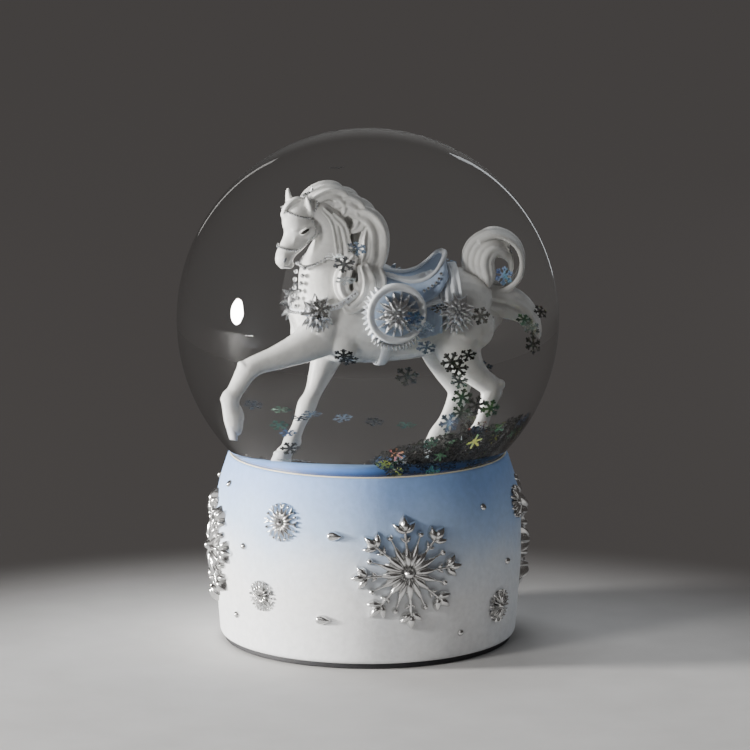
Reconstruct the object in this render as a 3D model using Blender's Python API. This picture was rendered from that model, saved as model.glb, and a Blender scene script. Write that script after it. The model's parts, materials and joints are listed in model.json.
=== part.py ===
"""Musical snow globe: a water-filled glass ball with a prancing horse on a round base.

Built in millimetres and scaled to metres as each solid is made.  +Z is up, the front is -Y,
and the origin is on the table at the centre of the foot ring.
"""
import math

import bmesh
import bpy
from mathutils import Matrix, Vector

MM = 0.001

# Globe
GLOBE_R = 50.0
GLOBE_WALL = 1.8
GLOBE_Z = 84.5
NECK_R = 31.5
NECK_WALL = 1.8
NECK_FOOT_Z = 38.2
GLOBE_SEGMENTS = 32

# Base
BASE_SEGMENTS = 40
BASE_OUTER = ((38.2, 1.35), (38.9, 2.2), (39.5, 8.0), (39.9, 13.0), (40.4, 20.0), (40.5, 24.7),
              (40.4, 30.0), (40.0, 36.7), (38.9, 42.3), (37.9, 45.6), (36.9, 48.5), (36.5, 49.3))
BASE_INNER = ((35.95, 49.3), (34.9, 47.2), (33.0, 45.0), (32.0, 43.2), (32.0, 36.15), (28.5, 36.15),
              (28.5, 33.5), (36.6, 33.5), (36.6, 17.0), (34.4, 17.0), (34.4, 14.1), (36.6, 14.1),
              (36.6, 1.35))
FOOT_INNER_R = 35.6
FOOT_OUTER_R = 37.9
FOOT_HEIGHT = 1.3
PLATE_R = 36.2
PLATE_Z = (12.0, 14.0)
PLATE_SCREW_R = 33.6
PLATE_SCREW_ANGLES = (94.0, 214.0, 334.0)

# Figurine
PLATFORM_R = 29.2
HORSE_TURN = 14.0

# Musical movement
ARBOR_X = -14.0
ARBOR_R = 1.5
BEDPLATE_Z = (14.05, 15.65)
CYLINDER_Z = 21.02
CYLINDER_R = 5.2
CROWN_TEETH = 20
CROWN_R = 11.2
PINION_TEETH = 8
PINION_R = 4.48
DRIVE_TEETH = 18
DRIVE_R = 4.5
GOVERNOR_TEETH = 8
GOVERNOR_R = 2.0
GOVERNOR_Y = 6.55
WORM_WHEEL_TEETH = 20
WORM_X = 20.5
WORM_Y = 12.2


def clear_scene():
    for item in list(bpy.data.objects):
        bpy.data.objects.remove(item, do_unlink=True)


def material(name, color, roughness, metallic=0.0, alpha=1.0):
    made = bpy.data.materials.new(name)
    made.use_nodes = True
    shader = made.node_tree.nodes["Principled BSDF"]
    shader.inputs["Base Color"].default_value = (*color, 1.0)
    shader.inputs["Roughness"].default_value = roughness
    shader.inputs["Metallic"].default_value = metallic
    shader.inputs["Alpha"].default_value = alpha
    made.diffuse_color = (*color, alpha)
    return made


def solid(name, shape, paint, smooth=False, origin=(0.0, 0.0, 0.0)):
    """Turn a (points, faces) pair in millimetres into an object with outward faces."""
    points, faces = shape
    mesh = bpy.data.meshes.new(name)
    start = Vector(origin)
    mesh.from_pydata([(Vector(p) - start) * MM for p in points], [], faces)
    work = bmesh.new()
    work.from_mesh(mesh)
    bmesh.ops.recalc_face_normals(work, faces=work.faces)
    work.to_mesh(mesh)
    work.free()
    item = bpy.data.objects.new(name, mesh)
    item.location = start * MM
    bpy.context.collection.objects.link(item)
    if paint is not None:
        mesh.materials.append(paint)
    for face in mesh.polygons:
        face.use_smooth = smooth
    return item


def moved(shape, matrix):
    points, faces = shape
    return [tuple(matrix @ Vector(p)) for p in points], faces


def merged(*shapes):
    points, faces = [], []
    for extra_points, extra_faces in shapes:
        start = len(points)
        points.extend(extra_points)
        faces.extend([tuple(i + start for i in face) for face in extra_faces])
    return points, faces


def turned(profile, segments):
    """Revolve a closed loop of (radius, height) points about Z."""
    points, rows = [], []
    for radius, height in profile:
        if radius < 1e-6:
            rows.append([len(points)] * segments)
            points.append((0.0, 0.0, height))
        else:
            rows.append(list(range(len(points), len(points) + segments)))
            for step in range(segments):
                angle = 2 * math.pi * step / segments
                points.append((radius * math.cos(angle), radius * math.sin(angle), height))
    faces = []
    count = len(rows)
    for index in range(count):
        first, second = rows[index], rows[(index + 1) % count]
        if profile[index][0] < 1e-6 and profile[(index + 1) % count][0] < 1e-6:
            continue
        for step in range(segments):
            after = (step + 1) % segments
            face = [first[step], first[after], second[after], second[step]]
            faces.append(tuple(dict.fromkeys(face)))
    return points, faces


def prism(outline, low, high):
    """Extrude an (x, y) outline from one height to another."""
    count = len(outline)
    points = [(x, y, low) for x, y in outline] + [(x, y, high) for x, y in outline]
    faces = [tuple(range(count)), tuple(range(count, 2 * count))]
    for index in range(count):
        after = (index + 1) % count
        faces.append((index, after, after + count, index + count))
    return points, faces


def box(low, high):
    outline = [(low[0], low[1]), (high[0], low[1]), (high[0], high[1]), (low[0], high[1])]
    return prism(outline, low[2], high[2])


def circle(radius, segments, center=(0.0, 0.0)):
    return [(center[0] + radius * math.cos(2 * math.pi * i / segments),
             center[1] + radius * math.sin(2 * math.pi * i / segments)) for i in range(segments)]


def gear_outline(teeth, pitch_r, add, dedend, root_half, tip_half, start=0.0):
    """Outline of a spur gear with straight-sided teeth, one tooth centred on the start angle."""
    outline = []
    for tooth in range(teeth):
        center = start + 2 * math.pi * tooth / teeth
        for radius, half in ((pitch_r - dedend, -root_half), (pitch_r + add, -tip_half),
                             (pitch_r + add, tip_half), (pitch_r - dedend, root_half)):
            angle = center + half / radius
            outline.append((radius * math.cos(angle), radius * math.sin(angle)))
    return outline


def guide(name, shape):
    item = solid(name, shape, None)
    item.hide_render = True
    item.display_type = "WIRE"
    return item


def combine(item, other, operation):
    step = item.modifiers.new(operation.title(), "BOOLEAN")
    step.operation = operation
    step.solver = "EXACT"
    step.object = other
    return step


def drill(item, name, x, y, radius, low, high, segments=16):
    combine(item, guide(name, prism(circle(radius, segments, (x, y)), low, high)), "DIFFERENCE")


def limb(stations, sides=10, grow=0.0):
    """Sweep an ellipse along stations of (x, y, z, half width in Y, half depth in the XZ plane)."""
    places = [Vector(s[:3]) for s in stations]
    points, faces = [], []
    count = len(stations)
    side = Vector((0.0, 1.0, 0.0))

    def direction(index):
        before = places[max(index - 1, 0)]
        after = places[min(index + 1, count - 1)]
        return (after - before).normalized()

    rings = []
    for index in range(count):
        along = direction(index)
        depth = along.cross(side).normalized()
        half_width = stations[index][3] + grow
        half_depth = stations[index][4] + grow
        rings.append((places[index], side, depth, half_width, half_depth, along))
    first, last = rings[0], rings[-1]
    reach = 0.7
    spread = []
    cap = min(first[3], first[4]) * reach
    spread.append((first[0] - first[5] * cap, side, first[2], first[3] * 0.55, first[4] * 0.55))
    spread.extend(ring[:5] for ring in rings)
    cap = min(last[3], last[4]) * reach
    spread.append((last[0] + last[5] * cap, side, last[2], last[3] * 0.55, last[4] * 0.55))
    for center, across, depth, half_width, half_depth in spread:
        for step in range(sides):
            angle = 2 * math.pi * step / sides
            points.append(tuple(center + across * half_width * math.cos(angle)
                                + depth * half_depth * math.sin(angle)))
    for ring in range(len(spread) - 1):
        for step in range(sides):
            after = (step + 1) % sides
            low = ring * sides
            faces.append((low + step, low + after, low + sides + after, low + sides + step))
    faces.append(tuple(range(sides)))
    faces.append(tuple(range((len(spread) - 1) * sides, len(spread) * sides)))
    return points, faces


# Horse stations: local x runs from the nose (negative) to the tail, before the horse is turned.
TRUNK = ((-11.4, 0, 83.8, 4.6, 6.4), (-8.5, 0, 84.6, 6.4, 8.4), (-4.0, 0, 85.0, 7.5, 8.9),
         (2.0, 0, 84.4, 8.0, 8.6), (8.0, 0, 83.8, 8.1, 7.4), (13.0, 0, 84.9, 8.1, 7.4),
         (17.0, 0, 86.0, 8.0, 7.9), (20.0, 0, 85.4, 7.3, 7.4), (23.0, 0, 84.0, 4.8, 5.4))
NECK = ((-6.5, 0, 86.0, 6.4, 9.0), (-7.4, 0, 90.5, 5.5, 7.0), (-8.2, 0, 94.5, 4.7, 6.1),
        (-8.0, 0, 98.0, 4.0, 4.7), (-7.6, -0.2, 101.3, 3.5, 3.8), (-8.4, -0.5, 104.8, 3.1, 3.6),
        (-12.6, -0.8, 108.9, 2.6, 2.8))
HEAD = ((-14.4, -0.7, 109.2, 2.4, 2.8), (-15.4, -0.9, 107.0, 2.8, 3.6), (-15.0, -1.2, 104.6, 2.9, 3.9),
        (-16.6, -1.8, 101.6, 2.0, 2.9), (-18.5, -2.4, 98.4, 1.9, 2.3))
EAR_NEAR = ((-13.0, -2.1, 108.0, 1.3, 1.1), (-13.9, -2.5, 111.2, 0.5, 0.5))
EAR_FAR = ((-16.9, 0.2, 109.2, 1.3, 1.1), (-17.5, 0.5, 113.0, 0.5, 0.5))
MANE = ((-12.6, -0.4, 109.8, 2.2, 1.6), (-8.6, 0, 110.0, 2.8, 2.2), (-4.6, 0, 107.4, 3.4, 3.0),
        (-1.6, 0, 103.4, 4.0, 3.0), (-0.8, 0, 98.6, 4.8, 3.0), (-2.2, 0, 94.6, 5.2, 3.4),
        (-3.6, 0, 91.0, 6.4, 3.2))
LEG_RAISED = ((-9.0, -3.2, 83.4, 3.2, 5.4), (-14.4, -4.0, 80.2, 2.7, 3.6), (-20.6, -4.5, 77.9, 2.2, 2.6),
              (-27.6, -4.6, 75.0, 2.1, 2.4), (-29.6, -4.6, 72.2, 1.7, 2.1), (-32.0, -4.7, 68.8, 1.8, 2.4),
              (-32.4, -4.7, 65.6, 1.8, 2.5), (-32.3, -4.7, 62.0, 1.9, 2.6), (-32.9, -4.7, 60.0, 1.9, 2.2))
LEG_FORE = ((-5.6, 3.6, 82.0, 3.4, 5.2), (-7.2, 4.0, 76.8, 2.6, 3.2), (-9.0, 4.2, 71.8, 1.9, 2.0),
            (-11.1, 4.2, 67.3, 1.9, 1.9), (-12.8, 4.2, 63.4, 1.4, 1.5), (-14.2, 4.2, 60.4, 1.6, 1.7),
            (-15.8, 4.2, 58.2, 1.8, 2.0), (-16.9, 4.2, 56.9, 2.1, 2.4))
LEG_HIND_NEAR = ((16.6, -3.8, 83.4, 3.8, 7.4), (17.4, -4.3, 78.6, 3.3, 4.9), (19.4, -4.5, 75.0, 2.5, 3.1),
                 (23.7, -4.5, 70.6, 1.9, 2.2), (23.0, -4.5, 67.4, 1.6, 1.8), (21.9, -4.5, 64.2, 1.5, 1.6),
                 (21.2, -4.5, 62.0, 1.6, 1.8), (20.0, -4.5, 59.0, 1.8, 2.1), (19.0, -4.5, 56.9, 2.3, 2.6))
LEG_HIND_FAR = ((15.0, 3.8, 83.0, 3.8, 6.8), (15.4, 4.2, 77.6, 3.1, 4.4), (16.6, 4.5, 73.6, 2.3, 2.9),
                (18.3, 4.5, 69.6, 1.8, 2.1), (17.0, 4.5, 66.2, 1.5, 1.7), (15.6, 4.5, 63.6, 1.4, 1.5),
                (14.5, 4.5, 61.6, 1.6, 1.8), (12.8, 4.5, 59.0, 1.8, 2.0), (11.7, 4.5, 56.9, 2.3, 2.6))
TAIL_CURL = ((21.6, 0, 91.2, 2.2, 1.9), (20.9, 0, 94.4, 2.4, 1.9), (21.7, 0, 97.6, 2.4, 1.9),
             (24.4, 0, 99.5, 2.4, 1.8), (27.4, 0, 99.0, 2.3, 1.8), (29.4, 0, 96.6, 2.2, 1.8),
             (29.3, 0, 93.4, 2.1, 1.7), (27.4, 0, 91.0, 2.0, 1.7), (24.8, 0, 90.6, 1.9, 1.6))
TAIL_FALL = ((20.4, 0, 88.2, 2.4, 2.4), (24.4, 0, 87.6, 2.6, 2.3), (28.6, 0, 86.3, 2.3, 2.0),
             (31.4, 0, 84.0, 1.8, 1.6), (33.2, 0, 80.8, 1.0, 0.9))
HORSE_LIMBS = (TRUNK, NECK, HEAD, EAR_NEAR, EAR_FAR, MANE, LEG_RAISED, LEG_FORE, LEG_HIND_NEAR,
               LEG_HIND_FAR, TAIL_CURL, TAIL_FALL)
TURN = Matrix.Rotation(math.radians(HORSE_TURN), 4, "Z")
# Name, local x, height, radius, and distances of the back and front faces from the horse's middle
ROSETTES = (("side_medallion", 3.6, 87.1, 6.3, 10.4, 11.9), ("chest_rosette", -12.3, 87.7, 3.2, 6.9, 8.2),
            ("hip_rosette", 16.4, 86.9, 3.4, 8.9, 10.1))


def horse_shape(grow=0.0):
    return moved(merged(*[limb(stations, 12, grow) for stations in HORSE_LIMBS]), TURN)


def remeshed(item, voxel, ratio):
    step = item.modifiers.new("Skin", "REMESH")
    step.mode = "VOXEL"
    step.voxel_size = voxel * MM
    step = item.modifiers.new("Reduce", "DECIMATE")
    step.ratio = ratio


def surface_radius(height):
    """Radius of the base's outer wall at a height."""
    for (low_r, low_z), (high_r, high_z) in zip(BASE_OUTER, BASE_OUTER[1:]):
        if height <= high_z:
            share = max(0.0, (height - low_z) / (high_z - low_z))
            return low_r + (high_r - low_r) * share
    return BASE_OUTER[-1][0]


def on_wall(across, up, out, angle, height):
    """Wrap a point of a flat ornament round the wall; the angle is from the front towards +X."""
    turn = math.radians(angle) + across / surface_radius(height)
    radius = surface_radius(height + up) + out
    return radius * math.sin(turn), -radius * math.cos(turn), height + up


def relief_star(angle, height, long_arms, long_stations, short_stations, hub_r, thickness):
    """Snowflake with ridged arms: each station is (distance from centre, half width, ridge height)."""
    arms = long_arms * 2
    back = 0.22
    front_points, front_out, back_points = [], [], []
    faces = []
    front_index = {}
    back_index = {}

    def front(key, x, y, out):
        front_index[key] = len(front_points)
        front_points.append((x, y))
        front_out.append(out)

    def rear(key, x, y):
        back_index[key] = len(back_points)
        back_points.append((x, y))

    front("center", 0.0, 0.0, thickness + 0.7)
    rear("center", 0.0, 0.0)
    for arm in range(arms):
        turn = 2 * math.pi * arm / arms
        ahead = (math.cos(turn), math.sin(turn))
        side = (-ahead[1], ahead[0])
        stations = long_stations if arm % 2 == 0 else short_stations
        hub_half = hub_r * math.tan(math.pi / arms) * 0.55
        rows = [(hub_r, hub_half, thickness)] + list(stations)
        for row, (distance, half, ridge) in enumerate(rows):
            x, y = ahead[0] * distance, ahead[1] * distance
            front((arm, row, "mid"), x, y, ridge)
            if half > 0.0:
                for sign, label in ((-1, "right"), (1, "left")):
                    front((arm, row, label), x + sign * side[0] * half, y + sign * side[1] * half,
                          thickness * 0.6)
                    rear((arm, row, label), x + sign * side[0] * half, y + sign * side[1] * half)
            else:
                rear((arm, row, "mid"), x, y)
        for row in range(len(rows) - 1):
            tip = rows[row + 1][1] <= 0.0
            for label in ("right", "left"):
                outer = "mid" if tip else label
                quad = [front_index[(arm, row, label)], front_index[(arm, row + 1, outer)],
                        front_index[(arm, row + 1, "mid")], front_index[(arm, row, "mid")]]
                faces.append(("front", list(dict.fromkeys(quad))))
                faces.append(("edge", [front_index[(arm, row, label)], front_index[(arm, row + 1, outer)],
                                       back_index[(arm, row + 1, outer)], back_index[(arm, row, label)]]))
            if tip:
                quad = [back_index[(arm, row, "right")], back_index[(arm, row + 1, "mid")],
                        back_index[(arm, row, "left")]]
            else:
                quad = [back_index[(arm, row, "right")], back_index[(arm, row + 1, "right")],
                        back_index[(arm, row + 1, "left")], back_index[(arm, row, "left")]]
            faces.append(("back", quad))
    for arm in range(arms):
        after = (arm + 1) % arms
        for first, second in (((arm, 0, "right"), (arm, 0, "mid")), ((arm, 0, "mid"), (arm, 0, "left")),
                              ((arm, 0, "left"), (after, 0, "right"))):
            faces.append(("front", [front_index["center"], front_index[first], front_index[second]]))
        for first, second in (((arm, 0, "right"), (arm, 0, "left")), ((arm, 0, "left"), (after, 0, "right"))):
            faces.append(("back", [back_index["center"], back_index[first], back_index[second]]))
        faces.append(("edge", [front_index[(arm, 0, "left")], front_index[(after, 0, "right")],
                               back_index[(after, 0, "right")], back_index[(arm, 0, "left")]]))
    shift = len(front_points)
    solid_faces = []
    for kind, face in faces:
        if kind == "back":
            solid_faces.append(tuple(i + shift for i in face))
        elif kind == "edge":
            solid_faces.append((face[0], face[1], face[2] + shift, face[3] + shift))
        else:
            solid_faces.append(tuple(face))
    points = [on_wall(x, y, out, angle, height) for (x, y), out in zip(front_points, front_out)]
    points += [on_wall(x, y, back, angle, height) for x, y in back_points]
    return points, solid_faces


def relief_dome(angle, height, outline, rise):
    """Low dome with a flat back over an (across, up) outline."""
    back = 0.22
    count = len(outline)
    center = (sum(p[0] for p in outline) / count, sum(p[1] for p in outline) / count)
    points = [on_wall(x, y, back, angle, height) for x, y in outline]
    points += [on_wall(x, y, rise * 0.45, angle, height) for x, y in outline]
    for x, y in outline:
        points.append(on_wall(center[0] + (x - center[0]) * 0.6, center[1] + (y - center[1]) * 0.6,
                              rise * 0.9, angle, height))
    points.append(on_wall(center[0], center[1], rise, angle, height))
    points.append(on_wall(center[0], center[1], back, angle, height))
    faces = []
    for index in range(count):
        after = (index + 1) % count
        faces.append((index, after, 3 * count + 1))
        faces.append((index, after, after + count, index + count))
        faces.append((index + count, after + count, after + 2 * count, index + 2 * count))
        faces.append((index + 2 * count, after + 2 * count, 3 * count))
    return points, faces


def globe_profile():
    profile = [(0.0, GLOBE_Z + GLOBE_R)]
    low = math.acos(math.sqrt(GLOBE_R ** 2 - NECK_R ** 2) / GLOBE_R)
    steps = 15
    for step in range(1, steps + 1):
        angle = (math.pi - low) * step / steps
        profile.append((GLOBE_R * math.sin(angle), GLOBE_Z + GLOBE_R * math.cos(angle)))
    profile += [(NECK_R, NECK_FOOT_Z), (NECK_R - NECK_WALL, NECK_FOOT_Z)]
    inner = GLOBE_R - GLOBE_WALL
    low = math.acos(math.sqrt(inner ** 2 - (NECK_R - NECK_WALL) ** 2) / inner)
    steps = 13
    for step in range(steps, 0, -1):
        angle = (math.pi - low) * step / steps
        profile.append((inner * math.sin(angle), GLOBE_Z + inner * math.cos(angle)))
    profile.append((0.0, GLOBE_Z + inner))
    return profile


def liquid_profile():
    radius = GLOBE_R - GLOBE_WALL - 0.3
    profile = [(0.0, GLOBE_Z + radius)]
    low = math.acos(37.5 / radius)
    steps = 13
    for step in range(1, steps + 1):
        angle = (math.pi - low) * step / steps
        profile.append((radius * math.sin(angle), GLOBE_Z + radius * math.cos(angle)))
    profile.append((0.0, GLOBE_Z - 37.5))
    return profile


def heap_shape(grow=0.0):
    """Drift of settled flakes: a sector between the platform and the glass at the front right."""
    section = ((23.6, 55.0), (29.5, 54.6), (29.7, 47.8), (30.2, 47.8), (35.0, 52.2), (38.9, 57.2),
               (41.2, 61.0), (37.6, 60.4), (32.0, 58.8), (26.5, 57.0))
    center = (33.0, 56.0)
    steps = 9
    points, faces = [], []
    for step in range(steps + 1):
        share = step / steps
        angle = math.radians(12.0 + 88.0 * share)
        swell = 0.35 + 0.65 * math.sin(math.pi * share) ** 0.6
        for radius, height in section:
            if height > 56.5:
                height = 56.0 + (height - 56.0) * swell
                radius = min(radius, math.sqrt(47.7 ** 2 - (GLOBE_Z - height) ** 2) - 0.4)
            if grow:
                away = Vector((radius - center[0], height - center[1])).normalized() * grow
                radius, height = radius + away.x, height + away.y
            points.append((radius * math.sin(angle), -radius * math.cos(angle), height))
    count = len(section)
    for step in range(steps):
        for index in range(count):
            after = (index + 1) % count
            low = step * count
            faces.append((low + index, low + after, low + count + after, low + count + index))
    faces.append(tuple(range(count)))
    faces.append(tuple(range(steps * count, (steps + 1) * count)))
    return points, faces


def disc_on_flank(x, z, radius, near, far, sides=16):
    """Round medallion on the horse's side, its axis across the horse."""
    profile = [(0.0, near), (radius, near), (radius, near + (far - near) * 0.6), (0.0, far)]
    lie_down = Matrix.Translation((x, 0.0, z)) @ Matrix.Rotation(math.radians(90), 4, "X")
    return moved(turned(profile, sides), TURN @ lie_down)


def crown_wheel():
    """Disc whose teeth point down at its rim."""
    stations = []
    for tooth in range(CROWN_TEETH):
        center = 2 * math.pi * (tooth + 0.5) / CROWN_TEETH
        for half, height in ((-0.75, 26.3), (-0.3, 24.6), (0.3, 24.6), (0.75, 26.3)):
            stations.append((center + half / CROWN_R, height))
    count = len(stations)
    points, faces = [], []
    for angle, height in stations:
        section = ((1.62, 27.4), (12.0, 27.4), (12.0, height), (10.4, height), (10.4, 26.4), (1.62, 26.4))
        for radius, z in section:
            points.append((ARBOR_X + radius * math.cos(angle), radius * math.sin(angle), z))
    for index in range(count):
        first, second = index * 6, ((index + 1) % count) * 6
        for row in range(6):
            after = (row + 1) % 6
            faces.append((first + row, second + row, second + after, first + after))
    return points, faces


def worm_shape():
    """Shaft with a right-hand worm, built as a grid of radii."""
    lead, sides, low, high = 1.257, 8, 18.0, 24.3
    rows = 17
    levels = [(16.6, None), (17.9, None)]
    levels += [(low + (high - low) * step / (rows - 1), "thread") for step in range(rows)]
    levels += [(24.4, None), (33.0, None)]
    points, faces = [], []
    for height, kind in levels:
        for step in range(sides):
            angle = 2 * math.pi * step / sides
            radius = 0.5
            if kind:
                phase = (height / lead - angle / (2 * math.pi)) % 1.0
                radius = 0.75 + 0.55 * (1.0 - abs(2.0 * phase - 1.0))
            points.append((WORM_X + radius * math.cos(angle), WORM_Y + radius * math.sin(angle), height))
    for row in range(len(levels) - 1):
        for step in range(sides):
            after = (step + 1) % sides
            low_row = row * sides
            faces.append((low_row + step, low_row + after, low_row + sides + after, low_row + sides + step))
    faces.append(tuple(range(sides)))
    faces.append(tuple(range((len(levels) - 1) * sides, len(levels) * sides)))
    return points, faces


def along_x(shape, x, y, z):
    """Lay a shape built about Z so that its axis runs along +X through (y, z)."""
    turn = Matrix.Translation((x, y, z)) @ Matrix.Rotation(math.radians(90), 4, "Y")
    return moved(shape, turn)


def spring_shape():
    turns, steps = 4.0, 40
    points, faces = [], []
    for step in range(steps + 1):
        share = step / steps
        angle = 2 * math.pi * turns * share
        radius = 2.1 + (8.1 - 2.1) * share
        for out, height in ((0.0, 17.0), (0.4, 17.0), (0.4, 25.4), (0.0, 25.4)):
            reach = radius + out
            points.append((ARBOR_X + reach * math.cos(angle), reach * math.sin(angle), height))
    for step in range(steps):
        for row in range(4):
            after = (row + 1) % 4
            low = step * 4
            faces.append((low + row, low + after, low + 4 + after, low + 4 + row))
    faces.append((0, 1, 2, 3))
    faces.append(tuple(range(steps * 4, steps * 4 + 4)))
    return points, faces


def comb_outline():
    teeth, left, right = 18, 0.2, 15.2
    pitch = (right - left) / teeth
    outline = [(left, -17.0), (right, -17.0)]
    for tooth in range(teeth - 1, -1, -1):
        start = left + tooth * pitch
        outline += [(start + pitch - 0.18, -12.4), (start + pitch - 0.18, -5.6),
                    (start + 0.18, -5.6), (start + 0.18, -12.4)]
    return outline


def screw(x, y, head_r, shank_r, head_low, head_high, tip, segments=12):
    """Pan-head screw; the tip is above or below the head."""
    if tip > head_high:
        profile = [(0.0, tip), (shank_r, tip), (shank_r, head_high), (head_r, head_high),
                   (head_r * 0.9, head_low), (0.0, head_low)]
    else:
        profile = [(0.0, tip), (shank_r, tip), (shank_r, head_low), (head_r, head_low),
                   (head_r * 0.9, head_high), (0.0, head_high)]
    return moved(turned(profile, segments), Matrix.Translation((x, y, 0.0)))


clear_scene()

glass = material("clear_glass", (0.92, 0.97, 1.0), 0.02, alpha=0.25)
water = material("water", (0.80, 0.90, 0.98), 0.05, alpha=0.3)
rubber = material("black_rubber", (0.03, 0.03, 0.035), 0.7)
ice_blue = material("ice_blue_paint", (0.62, 0.76, 0.92), 0.6)
resin_white = material("white_resin", (0.86, 0.89, 0.93), 0.6)
horse_white = material("horse_paint", (0.90, 0.92, 0.95), 0.45)
saddle_pearl = material("saddle_paint", (0.80, 0.84, 0.90), 0.4)
silver_trim = material("silver_paint", (0.72, 0.76, 0.80), 0.3, 0.85)
flake_foil = material("flake_foil", (0.60, 0.66, 0.72), 0.25, 0.8)
adhesive = material("clear_adhesive", (0.88, 0.84, 0.70), 0.35)
plastic_black = material("black_plastic", (0.05, 0.05, 0.055), 0.5)
zinc = material("die_cast_zinc", (0.62, 0.62, 0.64), 0.45, 0.9)
steel = material("steel", (0.70, 0.71, 0.73), 0.3, 1.0)
brass = material("brass", (0.80, 0.62, 0.30), 0.3, 1.0)
nylon = material("white_nylon", (0.88, 0.88, 0.85), 0.5)

# Globe and what it holds
solid("glass_globe", turned(globe_profile(), GLOBE_SEGMENTS), glass, smooth=True)

liquid = solid("liquid_fill", turned(liquid_profile(), GLOBE_SEGMENTS), water, smooth=True)
swollen_parts = [limb(stations, 10, 1.4) for stations in HORSE_LIMBS]
saddle_room = ((-3.6, 0, 86.0, 13.0, 8.5), (4.4, 0, 86.6, 13.0, 11.6), (15.5, 0, 88.5, 13.0, 11.0))
swollen_parts.append(limb(saddle_room, 12))
swollen_discs = []
for _, x, z, radius, _, far in ROSETTES:
    lie_down = Matrix.Translation((x, 0.0, z)) @ Matrix.Rotation(math.radians(90), 4, "X")
    swollen_discs.append(moved(prism(circle(radius + 1.8, 16), -far - 1.8, far + 1.8), TURN @ lie_down))
swollen = guide("cut_liquid_horse", merged(moved(merged(*swollen_parts), TURN), *swollen_discs))
remeshed(swollen, 1.5, 0.11)
column = turned(((0.0, 57.0), (20.0, 56.6), (29.7, 55.2), (29.7, 40.0), (0.0, 40.0)), GLOBE_SEGMENTS)
combine(liquid, guide("cut_liquid_platform", column), "DIFFERENCE")
combine(liquid, swollen, "DIFFERENCE")
combine(liquid, guide("cut_liquid_heap", heap_shape(0.8)), "DIFFERENCE")

solid("rubber_stopper", turned(((0.0, 46.7), (29.3, 46.7), (29.3, 38.1), (31.2, 38.1), (31.2, 36.25),
                                (26.0, 36.25), (26.0, 43.4), (0.0, 43.4)), GLOBE_SEGMENTS), rubber)
solid("figurine_platform", turned(((0.0, 55.0), (20.0, 54.7), (28.4, 54.2), (29.2, 53.5), (29.2, 49.0),
                                   (28.2, 46.8), (0.0, 46.8)), GLOBE_SEGMENTS), ice_blue)

horse = solid("horse_figurine", horse_shape(), horse_white, smooth=True)
remeshed(horse, 0.62, 0.07)
flat_sole = guide("cut_horse_sole", box((-45, -45, 40), (45, 45, 55.15)))
combine(horse, flat_sole, "DIFFERENCE")

saddle_rows = [(-1.5, 0, 85.0, 9.6, 10.1), (2.0, 0, 84.6, 9.9, 10.4), (8.0, 0, 83.9, 10.0, 9.2),
               (13.0, 0, 84.8, 9.9, 10.2)]
saddle = solid("saddle_and_blanket", moved(limb(saddle_rows, 24), TURN), saddle_pearl, smooth=True)
cantle = guide("add_cantle", moved(limb(((12.0, 0, 90.0, 5.4, 2.2), (14.8, 0, 95.6, 4.2, 1.0)), 12), TURN))
pommel = guide("add_pommel", moved(limb(((3.6, 0, 90.0, 3.4, 2.0), (2.4, 0, 95.6, 2.0, 0.9)), 12), TURN))
combine(saddle, cantle, "UNION")
combine(saddle, pommel, "UNION")
for label, rows, gap, sides in (("trunk", TRUNK, 0.5, 28), ("neck", NECK, 0.7, 18), ("mane", MANE, 0.6, 16)):
    room = [(x, y, z, w + gap, d + gap) for x, y, z, w, d in rows]
    combine(saddle, guide("cut_saddle_" + label, moved(limb(room, sides), TURN)), "DIFFERENCE")
for label, near, far in (("near", 8.0, 14.0), ("far", -8.0, -14.0)):
    combine(saddle, guide("cut_saddle_hip_" + label, disc_on_flank(16.4, 86.9, 3.8, near, far, 16)), "DIFFERENCE")
combine(saddle, guide("cut_saddle_hem", box((-45, -45, 60), (45, 45, 80.5))), "DIFFERENCE")
for label, station in (("near", LEG_HIND_NEAR), ("far", LEG_HIND_FAR),
                       ("raised", LEG_RAISED), ("fore", LEG_FORE)):
    leg = [(x, y, z, w + 0.6, d + 0.6) for x, y, z, w, d in station]
    combine(saddle, guide("cut_saddle_" + label, moved(limb(leg, 16), TURN)), "DIFFERENCE")

for name, x, z, radius, near, far in ROSETTES:
    solid(name + "_near", disc_on_flank(x, z, radius, near, far, 16), silver_trim)
    solid(name + "_far", disc_on_flank(x, z, radius, -near, -far, 16), silver_trim)

solid("settled_flakes", heap_shape(), flake_foil)
solid("rim_adhesive", turned(((35.8, 49.36), (36.5, 49.36), (36.5, 49.62), (36.15, 49.72)), BASE_SEGMENTS),
      adhesive)

# Base
shell = solid("base_shell", turned(BASE_OUTER + BASE_INNER, BASE_SEGMENTS), resin_white, smooth=True)
solid("foot_ring", turned(((FOOT_OUTER_R, 0.0), (FOOT_OUTER_R, FOOT_HEIGHT), (FOOT_INNER_R, FOOT_HEIGHT),
                           (FOOT_INNER_R, 0.0)), BASE_SEGMENTS), rubber)
plate = solid("base_plate", prism(circle(PLATE_R, BASE_SEGMENTS), *PLATE_Z), plastic_black)
drill(plate, "cut_plate_arbor", ARBOR_X, 0.0, 2.0, 10.0, 16.0)
for index, angle in enumerate(PLATE_SCREW_ANGLES, 1):
    x = PLATE_SCREW_R * math.cos(math.radians(angle))
    y = PLATE_SCREW_R * math.sin(math.radians(angle))
    drill(plate, "cut_plate_screw_%d" % index, x, y, 1.35, 10.0, 16.0, 12)
    boss = moved(box((30.8, -2.8, 14.1), (37.6, 2.8, 19.5)), Matrix.Rotation(math.radians(angle), 4, "Z"))
    combine(shell, guide("add_shell_boss_%d" % index, boss), "UNION")
    drill(shell, "cut_shell_screw_%d" % index, x, y, 1.35, 13.0, 18.0, 12)
    solid("plate_screw_%d" % index, screw(x, y, 2.2, 1.1, 11.0, 11.95, 16.6), steel)

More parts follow.
